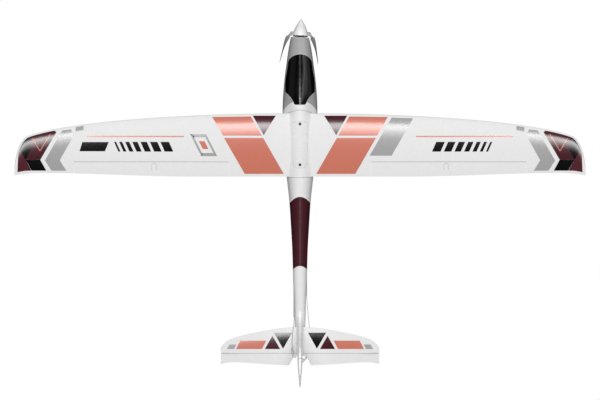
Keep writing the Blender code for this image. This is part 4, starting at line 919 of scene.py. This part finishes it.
def plate_half(y, grow=0.0):
    near = max(PLATE_CORNER - (PLATE_FRONT + grow - y), PLATE_CORNER - (y - PLATE_REAR + grow), 0.0)
    half = 0.0172 + 0.0046 * (y - PLATE_REAR) / (PLATE_FRONT - PLATE_REAR)
    return half + grow - PLATE_CORNER + math.sqrt(max(PLATE_CORNER**2 - near**2, 0.0))


def plate_rows(grow=0.0):
    ends = starting(0.0, PLATE_CORNER, 10)
    front = [PLATE_FRONT + grow - e for e in ends]
    rear = [PLATE_REAR - grow + e for e in reversed(ends)]
    line = [PLATE_LINE_Y + d for d in (0.0008, 0.0003, -0.0003, -0.0008)]
    return front[:-1] + refined([front[-1], *line, rear[0]], 0.003) + rear[1:]


def plate_top(x, y):
    groove = 0.00025 * max(0.0, 1 - abs(y - PLATE_LINE_Y) / 0.0008)
    ends = min(PLATE_FRONT - y, y - PLATE_REAR)
    rim = 0.0002 * smooth(1 - min(plate_half(y) - abs(x), ends) / 0.0008)
    return fairing_top(x, y) + 0.0004 - groove - rim


def wing_centre():
    """The raised middle of the wing, with its clamp plate on top and holes for the two screws."""
    ys = refined([HATCH_REAR - SEAM, SADDLE_REAR + WING_SEAM], 0.0025)
    item = tool(
        "wing_centre_skin",
        *strip(
            ys, fairing_half_width, fairing_top, lambda x, y: wing_height(x, y) - 0.0012, 48,
            lambda x, y: front_arch(x, rear_arch(x, y)),
        ),
    )
    plate = tool(
        "wing_clamp_plate_skin",
        *strip(plate_rows(), plate_half, plate_top, lambda x, y: fairing_top(x, y) - 0.0010, 40),
    )
    # painted shadow: a strip of painted-shade foam just under the clamp plate, rim wider all round, stands
    # for the shadow line at the plate's edge
    rim = 0.0006
    shadow_line = tool(
        "clamp_plate_seat",
        *strip(
            plate_rows(rim), lambda y: plate_half(y, rim), lambda x, y: fairing_top(x, y) + 0.00012,
            lambda x, y: fairing_top(x, y) - 0.0012, 40,
        ),
    )
    screw_hole = 0.0030  # radius
    for part in (item, plate, shadow_line):
        for where in ("front", "rear"):
            y = sum(corner.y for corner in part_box(f"wing_screw_{where}")) / 2
            carve(part, tool("screw_hole", *cylinder(screw_hole, "Z", 0.060, 0.130, (0.0, y))))
    piece(item, FOAM, "airframe", "wing_centre_fairing", slot="white_foam", sharp=50)
    piece(plate, PLATE_PLASTIC, "airframe", "wing_clamp_plate", slot="white_plastic", sharp=50)
    piece(shadow_line, PAINTED_SHADE_FOAM, "airframe", slot="white_foam", sharp=50)
    follow(item, fairing_top)
    follow(plate, plate_top, 0.0001)


# ---------------------------------------------------------------- wing
def aerofoil_body(name, xs, edges, height, steps, side=1):
    """A body between an upper and a lower height, through sections at each X."""
    loops = []
    for x in xs:
        le, te = (edge(x) for edge in edges)
        ys = [le - (le - te) * c for c in cosine_steps(steps)]
        upper = [(side * x, y, height(x, y, 1)) for y in reversed(ys)]
        loops.append(upper + [(side * x, y, height(x, y, -1)) for y in ys[1:]])
    return tool(name, *loft(loops))


def wing_solid(name, side):
    xs = refined([SEAM, AILERON_IN, AILERON_OUT, TIP_BEND_X], 0.008)[:-1]
    xs += refined([TIP_BEND_X, 0.7265], 0.004)[:-1] + slowing(0.7265, HALF_SPAN, 24)
    return aerofoil_body(name, xs, (leading_edge, trailing_edge), wing_height, 56, side)


def hinge_block(name, outline, ends, low, high):
    """A block along a hinge line: outline is (Y, Z) from the line, low and high are in X."""
    start, end = ends
    slope = (end.z - start.z) / (end.x - start.x)
    loops = []
    for x in (low, high):
        z = start.z + (x - start.x) * slope
        loops.append([(x, start.y + a, z + b) for a, b in outline])
    return tool(name, *loft(loops))


BAY = [(-0.09, -0.03), (GAP, -0.03), (GAP, -0.0002), (0.03, 0.03), (-0.09, 0.03)]
SURFACE = [(-0.09, -0.03), (-0.03 * BEVEL - GAP, -0.03), (-GAP, -0.0002), (-0.03, 0.03), (-0.09, 0.03)]


def aileron_hinge(side):
    ends = []
    for x in (AILERON_IN, AILERON_OUT):
        ends.append(Vector((side * x, AILERON_HINGE_Y, wing_height(x, AILERON_HINGE_Y) - HINGE_DEPTH)))
    return ends


def joiner_bore():
    """The bent hole for the carbon joiner rod, through both wing panels."""
    y, reach, radius = 0.1800, 0.262, 0.0043
    middle = (wing_height(0.0, y, 1) + wing_height(0.0, y, -1)) / 2
    path = [(x, y, middle + abs(x) * math.tan(DIHEDRAL)) for x in (-reach, 0.0, reach)]
    return tool("joiner_bore", *tube(path, radius))


def wing_half(side):
    name = SIDES[side]
    ends = aileron_hinge(side)
    low, high = sorted((side * AILERON_IN, side * AILERON_OUT))
    wing = wing_solid(f"{name}_wing_skin", side)
    servo_low, servo_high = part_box(f"{name}_aileron_servo")
    room = Vector((0.0008, 0.0006, 0.0010))
    pocket = tool("servo_pocket", *box((servo_low - room)[:2] + (0.05,), servo_high + room))
    carve(wing, hinge_block("aileron_bay", BAY, ends, low, high), joiner_bore(), pocket)
    piece(wing, FOAM, "airframe", f"wing_{name}_panel", slot="white_foam")

    aileron = wing_solid(f"{name}_aileron_skin", side)
    inner, outer = 0.0008, 0.0012
    trims = (inner, outer) if side > 0 else (outer, inner)
    block = hinge_block("aileron_block", SURFACE, ends, low + trims[0], high - trims[1])
    carve(aileron, block, operation="INTERSECT")
    piece(aileron, FOAM, f"{name}_aileron", f"{name}_aileron", slot="white_foam")
    hinge_strip(f"{name}_aileron_living_hinge", ends)
    horn_seat_mark(side)


def bend_with(item):
    """Bakes a hinge's web or plates into their mesh where they stand; they ride on no body."""
    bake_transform(item)


def hinge_strip(name, ends):
    """The thin web of foam that is left at the bottom of a hinge groove."""
    half_width, top, thick = 0.0019, 0.0003, 0.0008
    start, end = ends
    loops = []
    for t in spread(0.002, 0.998, 60):
        p = start.lerp(end, t)
        upper = [(p.x, p.y + a, p.z + top) for a in spread(-half_width, half_width, 10)]
        lower = [(p.x, p.y + a, p.z + top - thick) for a in spread(half_width, -half_width, 10)]
        loops.append(upper + lower)
    # the web's grey is painted shade: it stands for the shadow at the bottom of the hinge groove
    item = piece(tool(name, *loft(loops)), PAINTED_SHADE_FOAM, None, slot="white_foam")
    bend_with(item)


def horn_seat_mark(side):
    """The moulded U that marks the control horn's place on top of an aileron."""
    half, front, rear = 0.0060, AILERON_HINGE_Y - 0.0032, AILERON_HINGE_Y - 0.0207
    x = side * AILERON_LINK_X
    flat = circle(half, 13, (x, front - half), math.pi, -math.pi)
    flat = [(x - half, rear), *flat, (x + half, rear)]
    points = [(a, b, wing_height(a, b) - 0.0001) for a, b in flat]
    item = tool(f"{SIDES[side]}_horn_seat_mark", *tube(points, 0.0006, 8))
    # the moulded U is real; its grey is painted shade that stands for the shadow along the bead
    piece(item, PAINTED_SHADE_FOAM, f"{SIDES[side]}_aileron", slot="white_foam")


# ---------------------------------------------------------------- tail
def tail_solid(name):
    xs = refined([0.0, 0.190], 0.008)[:-1] + slowing(0.190, TAIL_HALF_SPAN, 14)
    both = [-v for v in reversed(xs[1:])] + xs
    return aerofoil_body(name, both, (tail_leading_edge, tail_trailing_edge), tail_height, 30)


def tailplane():
    z = tail_height(0.0, ELEVATOR_HINGE_Y) - HINGE_DEPTH
    ends = [Vector((x, ELEVATOR_HINGE_Y, z)) for x in (-TAIL_HALF_SPAN, TAIL_HALF_SPAN)]
    reach = TAIL_HALF_SPAN + 0.01
    fixed = tail_solid("stabilizer_skin")
    carve(fixed, hinge_block("elevator_bay", BAY, ends, -reach, reach))
    piece(fixed, FOAM, "airframe", "horizontal_stabilizer", slot="white_foam")

    elevator = tail_solid("elevator_skin")
    carve(elevator, hinge_block("elevator_block", SURFACE, ends, -reach, reach), operation="INTERSECT")
    front, bridge = RUDDER_HINGE_Y + 0.0015, RUDDER_HINGE_Y - 0.0006
    right = [(0.0090, front), (0.0105, bridge), (0.0177, bridge), (0.0337, -0.4454)]
    left = [(-0.0340, -0.4454), (-0.0177, bridge - 0.0024), (-0.0105, bridge - 0.0052), (-0.0090, front)]
    carve(elevator, tool("rudder_notch", *prism(right + left, "Z", 0.04, 0.11)))
    piece(elevator, FOAM, "elevator_surface", "elevator", slot="white_foam")
    inset = [ends[0] + Vector((0.0012, 0, 0)), ends[1] - Vector((0.0012, 0, 0))]
    hinge_strip("elevator_living_hinge", inset)


def fin_solid(name):
    zs = refined([RUDDER_FOOT, 0.0600, FIN_BASE, 0.2150], 0.006)
    zs = zs[:-1] + slowing(0.2150, FIN_TOP, 12)
    loops = []
    for z in zs:
        le, te, thick = fin_section(z)
        chord = le - te
        shares = cosine_steps(30)
        right = [(thick * half_thickness(c, 1.0, 0.0018 / thick), le - chord * c, z) for c in shares]
        left = [(-w, y, z) for w, y, _ in reversed(right)][:-1]
        loops.append(right + left)
    return tool(name, *loft(loops))


def fin_and_rudder():
    fin = fin_solid("fin_skin")
    step = 0.0135
    foot_rear = TAIL_SEAT_FRONT + 0.0003
    over_hinge, rear = ELEVATOR_HINGE_Y + 0.0030, RUDDER_HINGE_Y + 0.0004
    side_view = [(-0.25, 0.0660), (foot_rear, 0.0660), (foot_rear, FIN_BASE), (over_hinge, FIN_BASE)]
    side_view += [(over_hinge, FIN_BASE + step / 2), (rear, FIN_BASE + step), (rear, 0.25), (-0.25, 0.25)]
    carve(fin, tool("fin_block", *prism(side_view, "X", -0.02, 0.02)), operation="INTERSECT")
    piece(fin, FOAM, "airframe", "vertical_fin", slot="white_foam")

    rudder = fin_solid("rudder_skin")
    nose = RUDDER_HINGE_Y - 0.0003
    shoulder = nose - 0.015 * BEVEL
    plan = [(0.0, nose), (-0.015, shoulder), (-0.015, -0.52), (0.015, -0.52), (0.015, shoulder)]
    carve(rudder, tool("rudder_block", *prism(plan, "Z", 0.02, 0.26)), operation="INTERSECT")
    piece(rudder, FOAM, "rudder_surface", "rudder", slot="white_foam")
    rudder_hinges()


def rudder_hinges():
    """Three thin plates across the joint of the fin and rudder."""
    points, faces = [], []
    radius, half_thick = 0.0075, 0.0003
    for z in (0.1050, 0.1500, 0.1950):
        plate = prism(circle(radius, 24, (RUDDER_HINGE_Y, z)), "X", -half_thick, half_thick)
        faces += [tuple(i + len(points) for i in face) for face in plate[1]]
        points += plate[0]
    item = piece(tool("rudder_hinge_plates", points, faces), WHITE_PLASTIC, None, slot="white_plastic")
    bend_with(item)


# ---------------------------------------------------------------- decals
def tip_run(first, last, steps=14):
    """Points along the wingtip's edge, a margin inside it."""
    xs = spread(first, last, steps)
    return [(x, leading_edge(x + EDGE_MARGIN) - EDGE_MARGIN) for x in xs]


def slanted_bars(start, front, rear, widths, gap, slant):
    """Parallelograms side by side along X, each leaning outwards towards the leading edge."""
    made = []
    for width in widths:
        end = start + width
        made.append([(start, rear), (end, rear), (end + slant, front), (start + slant, front)])
        start += width + gap
    return made


def ring_of(outline, share):
    """The four-sided frame between an outline and its smaller copy."""
    cx, cy = (sum(p[k] for p in outline) / len(outline) for k in (0, 1))
    inner = [(cx + (x - cx) * share, cy + (y - cy) * share) for x, y in outline]
    n = len(outline)
    return [[outline[i], outline[(i + 1) % n], inner[(i + 1) % n], inner[i]] for i in range(n)], inner


ROOT_MAROON = [[(0.0649, 0.2326), (0.1266, 0.2326), (0.0970, 0.1803)]]
ROOT_SALMON = [
    [(0.1319, 0.2305), (0.2350, 0.2289), (0.2059, 0.1790), (0.1023, 0.1790)],
    [(0.0986, 0.1728), (0.2033, 0.1728), (0.1482, 0.0767), (0.0435, 0.0767)],
    [(0.3098, 0.1785), (0.5689, 0.1785), (0.5689, 0.1749), (0.3098, 0.1749)],
]
CHEVRON = [[
    (0.6352, 0.1926), (0.6119, 0.1955), (0.6039, 0.1798), (0.6418, 0.1130),
    (0.6247, 0.0848), (0.6643, 0.0852), (0.6814, 0.1125),
]]
TIP_FACET = (0.7156, 0.1472)
TIP_JOINT = (0.7326, 0.1140)
TIP_MAROON = [[(0.6507, 0.1880), *tip_run(0.6560, 0.7262), TIP_FACET, TIP_JOINT, (0.6937, 0.1140)]]
TIP_BLACK = [
    [*tip_run(0.7262, 0.7481), TIP_JOINT, TIP_FACET],
    [(0.6937, 0.1139), (0.6782, 0.0852), (0.7169, 0.0852), (0.7325, 0.1139)],
]
TIP_CORNER = [
    [*tip_run(0.7481, 0.7520, 3), (0.7542, 0.0809), (0.7350, 0.0845), (0.7175, 0.0852), TIP_JOINT],
]
TIP_LINES = [
    [(0.7156, 0.1715), (0.7136, 0.1715), (0.6945, 0.1396), (0.6945, 0.1350)],
    [(0.6945, 0.1350), (0.6945, 0.1396), (0.6683, 0.1832), (0.6659, 0.1838)],
]
LABEL = [[(0.5783, 0.2049), (0.5996, 0.2012), (0.5996, 0.1895), (0.5783, 0.1932)]]
TAIL_DECALS = {
    "black": [[(0.0214, -0.3494), (0.0700, -0.3494), (0.0454, -0.3924)]],
    "maroon": [[(0.0534, -0.3932), (0.0943, -0.3932), (0.0740, -0.3576)]],
    "salmon": [[(0.0900, -0.3707), (0.1603, -0.3707), (0.1717, -0.3932), (0.1020, -0.3932)]],
    "grey": [[(0.1709, -0.3809), (0.1896, -0.3809), (0.1963, -0.3932), (0.1768, -0.3932)]],
}


def decals(side):
    name = SIDES[side]
    bar_widths = [0.0230, 0.0200, 0.0170, 0.0140, 0.0110, 0.0080, 0.0055]
    if side > 0:
        grey = [[(0.2452, 0.2273), (0.3026, 0.2254), (0.2452, 0.1253), (0.1864, 0.1253)]]
        salmon = []
        bars = slanted_bars(0.3530, 0.1622, 0.1362, bar_widths, 0.0085, 0.0115)
    else:
        outline = [(0.2217, 0.1242), (0.2640, 0.1242), (0.2938, 0.1830), (0.2515, 0.1830)]
        grey, inner = ring_of(outline, 0.72)
        salmon = [ring_of(inner, 0.5)[1]]
        bars = slanted_bars(0.3390, 0.1622, 0.1362, bar_widths, 0.0080, 0.0115)
        bars.append([(0.5214, 0.1370), (0.5892, 0.1370), (0.5815, 0.1616), (0.5110, 0.1616)])
    layers = {
        "maroon": ROOT_MAROON + TIP_MAROON,
        "pale_maroon": TIP_CORNER,
        "salmon": ROOT_SALMON + salmon,
        "grey": CHEVRON + LABEL + grey,
        "black": TIP_BLACK + bars,
    }
    for colour, outlines in layers.items():
        film(f"{name}_wing_{colour}_decals", outlines, wing_height, FILMS[colour], "airframe", side)
    film(f"{name}_tip_lines", TIP_LINES, wing_height, FILMS["salmon"], "airframe", side, 2 * FILM_LIFT)
    for colour, outlines in TAIL_DECALS.items():
        film(f"{name}_tail_{colour}_decal", outlines, tail_height, FILMS[colour], "airframe", side)


# ---------------------------------------------------------------- propeller
TILT = Matrix.Rotation(-RIGHT_THRUST, 4, "Z") @ Matrix.Rotation(-DOWN_THRUST, 4, "X")
ROTOR = Matrix.Translation(THRUST_POINT) @ TILT


def on_rotor(name, shape, place=ROTOR):
    return tool(name, [place @ Vector(p) for p in shape[0]], shape[1])


def spinner():
    def radius_at(y):
        return SPINNER_RADIUS * (1 - (y / SPINNER_LENGTH) ** 1.7)

    ys = slowing(0.0, SPINNER_LENGTH, 40)[:-1]
    outer = [(radius_at(y), y) for y in ys]
    inner = [(r - 0.0012, y - 0.0002) for r, y in outer if r > 0.0035]
    inner[0] = (inner[0][0], 0.0)
    rim = [(SPINNER_RADIUS - 0.0004, 0.0)]
    profile = rim + [(SPINNER_RADIUS - 0.0001, 0.0003)] + outer[1:] + [(0.0, SPINNER_LENGTH), (0.0, 0.0415)]
    cone = on_rotor("spinner_shell", turned(profile + inner[::-1]))
    slots = []
    for side in SIDES:
        low, high = sorted((side * 0.012, side * 0.030))
        slot = box((low, -0.002, -0.0064), (high, PIN_Y + EYE_RADIUS + 0.0004, 0.0064))
        slots.append(on_rotor("spinner_slot", slot))
    carve(cone, *slots)
    piece(cone, WHITE_PLASTIC, "rotor", "spinner_cone", slot="white_plastic")


def blade(side):
    """A sickle-shaped folding blade, modelled straight out from its pin and then swung to its place."""
    loops = []
    for t in slowing(0.070, 1.0, 44):
        chord = 0.0080 + 0.0125 * smooth((t - 0.07) / 0.11) - 0.0100 * max(0.0, (t - 0.3) / 0.7) ** 1.6
        chord *= math.sqrt(max(0.0, 1 - max(0.0, (t - 0.80) / 0.203) ** 2.0))
        thick = 0.0046 - 0.0037 * smooth(t / 0.55)
        twist = math.radians(8.0 + 42.0 * (1 - t) ** 2.6) * smooth((t - 0.02) / 0.14)
        bow = BLADE_BOW * math.sin(math.pi * t**0.62)
        loop = []
        for c, h in circle(1.0, 28):
            c, h = c * chord / 2, h * thick / 2 * (1 - 0.35 * c)
            along_z = c * math.cos(twist) - h * math.sin(twist)
            along_y = c * math.sin(twist) + h * math.cos(twist)
            loop.append((t * BLADE_LENGTH, side * along_y + bow, along_z))
        loops.append(loop)
    lean = math.pi / 2 - FOLD_REST
    turn = Matrix.Rotation(-side * lean, 4, "Z") @ Matrix.Diagonal((side, 1, 1, 1))
    place = ROTOR @ Matrix.Translation(Vector((side * PIN_X, PIN_Y, 0.0))) @ turn
    root = circle(EYE_RADIUS - 0.0004, 24, (0.0, 0.0), math.radians(70), math.radians(220))
    root += [(0.0095, 0.0006), (0.0095, 0.0058)]
    name = f"{SIDES[side]}_folding_blade"
    item = on_rotor(name, loft(loops), place)
    carve(item, on_rotor("root", prism(root, "Z", -0.0030, 0.0030), place), operation="UNION")
    carve(item, on_rotor("bore", cylinder(PIN_RADIUS + 0.0002, "Z", -0.008, 0.008), place))
    piece(item, BLADE_PLASTIC, f"{SIDES[side]}_blade", f"{SIDES[side]}_propeller_blade", slot="grey_plastic")


# ---------------------------------------------------------------- equipment in the cabin
def rounded_ring(low, high, y, inset, corner, n, floor_share=1.0):
    """A rectangle with round corners across Y, inset from low and high, and less so from the floor."""
    made = []
    for k, (x, z) in enumerate(((high.x, high.z), (low.x, high.z), (low.x, low.z), (high.x, low.z))):
        inwards, upwards = (1 if x == low.x else -1), (1 if z == low.z else -1)
        rise = inset * (floor_share if upwards > 0 else 1.0) + corner
        centre = (x + (inset + corner) * inwards, z + rise * upwards)
        made += [(a, y, b) for a, b in circle(corner, n, centre, k * math.pi / 2, math.pi / 2)]
    return made


def rounded_slab(low, high, corner, end):
    """A box with edges along Y rounded by corner and its two ends pillowed by end."""
    loops = []
    stops = starting(0.0, end, 6)
    ys = [low[1] + s for s in stops] + [high[1] - s for s in reversed(stops)]
    for y in ys:
        near = max(0.0, 1 - min(y - low[1], high[1] - y) / end)
        inset = end * (1 - math.sqrt(max(0.0, 1 - near**2)))
        loops.append(rounded_ring(low, high, y, inset, max(corner - inset * 0.3, 0.0003), 6))
    return loft(loops)


def equipment():
    for node_name, finish, corner, end, slot in (
        ("battery_pack", BATTERY_WRAP, 0.0030, 0.0040, "battery_wrap"),
        ("speed_controller", CONTROLLER_WRAP, 0.0020, 0.0016, "black_plastic"),
        ("radio_receiver", BLACK_PLASTIC, 0.0012, 0.0008, "black_plastic"),
    ):
        low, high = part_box(node_name)
        item = tool(f"{node_name}_case", *rounded_slab(low, high, corner, end))
        piece(item, finish, "airframe", node_name, slot=slot)

    low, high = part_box("battery_strap")
    thick, rib, rib_pitch = 0.0015, 0.00008, 0.0025
    outer, inner = [], []
    for y in spread(low.y, high.y, 12):
        ribbed = rib * math.cos(2 * math.pi * (y - low.y) / rib_pitch)
        for rows, inset, corner in ((outer, ribbed, 0.0028), (inner, thick, 0.0016)):
            ring = rounded_ring(low, high, y, inset, corner, 8, 0.7)
            rows.append(ring + ring[:1])
    strap = tool("battery_strap_webbing", *shell(outer, inner, closed=True))
    piece(strap, WEBBING, "airframe", "battery_strap", slot="strap_fabric")


# ---------------------------------------------------------------- carried-over CAD nodes
def soften(name, width):
    """Rounds a CAD node's edges by width, with a modifier that leaves its mesh alone."""
    item = frame["nodes"][name]
    item.modifiers.new("weld", "WELD").merge_threshold = 1e-5
    edge = item.modifiers.new("soft_edges", "BEVEL")
    edge.width, edge.segments, edge.limit_method = width, 2, "ANGLE"
    edge.angle_limit = math.radians(38)
    edge.use_clamp_overlap = True
    item.data.shade_smooth()
    item.data.set_sharp_from_angle(angle=math.radians(40))


CONTROLS = ("left_aileron", "right_aileron", "elevator", "rudder")
CARRIED = {  # node names: (finish, edge rounding)
    "wing_seat_front wing_seat_rear motor_firewall magnet_arch equipment_tray": (WOOD, 0.0002),
    "motor_shaft left_blade_pin right_blade_pin canopy_magnet fuselage_magnet": (STEEL, 0.0),
    " ".join(f"{name}_pushrod" for name in CONTROLS): (STEEL, 0.0),
    "wing_screw_front wing_screw_rear": (DARK_STEEL, 0.0002),
    "wing_joiner_rod": (CARBON, 0.0),
    " ".join(f"{name}_servo" for name in CONTROLS): (SERVO_PLASTIC, 0.0003),
    " ".join(f"{name}_servo_arm {name}_horn" for name in CONTROLS): (WHITE_PLASTIC, 0.0001),
    " ".join(f"{name}_clevis" for name in CONTROLS): (GREY_PLASTIC, 0.0002),
    "elevator_guide_tube rudder_guide_tube": (GREY_PLASTIC, 0.0),
    "spinner_backplate": (DARK_PLASTIC, 0.0),
    "prop_yoke motor_bell": (ALUMINIUM, 0.0002),
    "motor_stator": (COPPER, 0.0),
}


def finish_carried():
    for names, (finish, width) in CARRIED.items():
        for name in names.split():
            item = frame["nodes"][name]
            for slot in item.material_slots:
                slot.material = finish
            if width:
                soften(name, width)


# ---------------------------------------------------------------- floor, light and camera
def floor():
    """A wide white floor just under the aircraft. It is seen, and lights nothing."""
    size = 120.0
    height = cad_box[0].z - 0.0004
    corners = [(-size, -size, height), (size, -size, height), (size, size, height), (-size, size, height)]
    item = tool("studio_floor", corners, [(0, 1, 2, 3)])
    made = bpy.data.materials.new("studio_floor")
    made.use_nodes = True
    nodes, links = made.node_tree.nodes, made.node_tree.links
    nodes.clear()
    kinds = ("Emission", "BsdfTransparent", "MixShader", "OutputMaterial", "NewGeometry")
    light, clear, mix, out, facing = (nodes.new("ShaderNode" + kind) for kind in kinds)
    links.new(facing.outputs["Backfacing"], mix.inputs[0])
    links.new(light.outputs[0], mix.inputs[1])
    links.new(clear.outputs[0], mix.inputs[2])
    links.new(mix.outputs[0], out.inputs[0])
    light.inputs["Strength"].default_value = 1.0
    item.data.materials.append(made)
    item.visible_diffuse = item.visible_glossy = item.visible_shadow = False
    item.visible_transmission = item.visible_volume_scatter = False


def world(strength):
    """Even light from all round for the matt surfaces; glossy ones see only the lamps."""
    made = bpy.data.worlds.new("studio")
    made.use_nodes = True
    background = made.node_tree.nodes["Background"]
    background.inputs["Color"].default_value = (1, 1, 1, 1)
    background.inputs["Strength"].default_value = strength
    bpy.context.scene.world = made
    made.cycles_visibility.glossy = False


def lamp(name, place, target, size, radiance, lit=None, matt=False):
    """A soft rectangular lamp. One with lit pieces makes only highlights on them, or if matt lights them."""
    data = bpy.data.lights.new(name, "AREA")
    data.shape, (data.size, data.size_y) = "RECTANGLE", size
    data.energy = radiance * math.pi * size[0] * size[1]
    item = bpy.data.objects.new(name, data)
    bpy.context.scene.collection.objects.link(item)
    item.location = place
    item.rotation_euler = (Vector(target) - Vector(place)).to_track_quat("-Z", "Y").to_euler()
    item.visible_camera = False
    item.visible_glossy = bool(lit) and not matt
    item.visible_diffuse = matt or not lit
    if lit:
        group = bpy.data.collections.new(f"{name}_lights")
        for other in lit:
            group.objects.link(other)
        item.light_linking.receiver_collection = group


def named(*parts):
    """The visible pieces whose names hold one of the parts."""
    return [o for o in bpy.data.objects if o.type == "MESH" and any(part in o.name for part in parts)]


def lights():
    world(0.24)
    lamp("overhead", (0.0, 0.9, 4.0), (0.0, 0.0, 0.0), (3.0, 3.0), 5.15)

    wing_films = [o for o in named("_wing_", "_tip_lines") if "skin" not in o.name]
    glazing = named("canopy_glazing_skin")
    fin = named("fin_skin", "rudder_skin")
    paint = named("fuselage_", "canopy_hatch_skin", "wing_centre_skin", "fin_skin", "rudder_skin")
    for name, (x, y), size, radiance, lit in (  # lamps that look straight down
        ("wing_bright", (0.0, 0.90), (2.2, 0.62), 11.0, wing_films),
        ("wing_middle", (0.0, 0.46), (2.2, 0.26), 6.0, wing_films),
        ("wing_soft", (0.0, 0.18), (2.2, 0.30), 2.5, wing_films),
        ("tail_left", (-0.14, 0.18), (0.36, 0.82), 16.0, named("left_tail_")),
        ("tail_right", (0.05, 0.18), (0.14, 0.82), 7.0, named("right_tail_")),
        ("canopy_line", (-0.03, 0.85), (0.13, 0.7), 34.0, glazing),
        ("canopy_line", (-0.03, 1.45), (0.13, 0.5), 12.0, glazing),
        ("canopy_line", (-0.03, 2.05), (0.13, 0.7), 5.5, glazing),
        ("paint_line", (-0.03, 1.1), (0.30, 2.4), 13.0, paint),
        ("spinner_glow", (0.0, 0.9), (2.0, 1.2), 9.0, named("spinner_shell")),
    ):
        lamp(name, (x, y, 3.0), (x, y, 0.0), size, radiance, lit)

    nose = (0.0, 0.3, 0.1)
    for x, z, width, radiance in (
        (1.1, 2.6, 0.6, 1.0), (1.8, 2.2, 1.0, 0.5), (2.8, 1.0, 2.0, 0.2), (-2.8, 1.0, 2.0, 0.09),
    ):
        lamp("canopy_panel", (x, 1.45, z), nose, (width, 2.8), radiance, glazing)
    lamp("paint_panel", (1.2, 1.0, 2.4), nose, (0.8, 3.0), 3.5, paint)
    for x in (-2.6, 2.6):
        lamp("fin_fill", (x, -0.3, 1.2), (0.0, -0.4, 0.1), (2.0, 2.0), 2.0, fin, matt=True)
    small = named("spinner_shell", "_folding_blade", "_case", "webbing", "hinge_plates")
    carried = list(frame["nodes"].values())
    lamp("sky", (0.0, 0.4, 3.5), (0.0, 0.3, 0.0), (7.0, 7.0), 0.8, small + carried)


def camera():
    """Straight above the aircraft, with a long lens as the surfaces show no perspective."""
    data = bpy.data.cameras.new("camera")
    data.lens, data.sensor_width = 300.0, 36.0
    low, high = cad_box
    margin = 1.0530  # width of the view over the span
    middle_y, framed_height = 0.0067, 0.12  # centre of the picture, and the height that it frames
    view_width = (high.x - low.x) * margin
    item = bpy.data.objects.new("camera", data)
    bpy.context.scene.collection.objects.link(item)
    distance = view_width * data.lens / data.sensor_width
    item.location = (0.0, middle_y, framed_height + distance)
    data.clip_end = 1000.0
    bpy.context.scene.camera = item


def main():
    for side in SIDES:
        fuselage_half(side)
        wing_half(side)
        decals(side)
        blade(side)
    canopy()
    wing_centre()
    tailplane()
    fin_and_rudder()
    spinner()
    equipment()
    finish_carried()
    floor()
    lights()
    camera()
    bpy.context.scene.view_settings.view_transform = "Standard"


main()
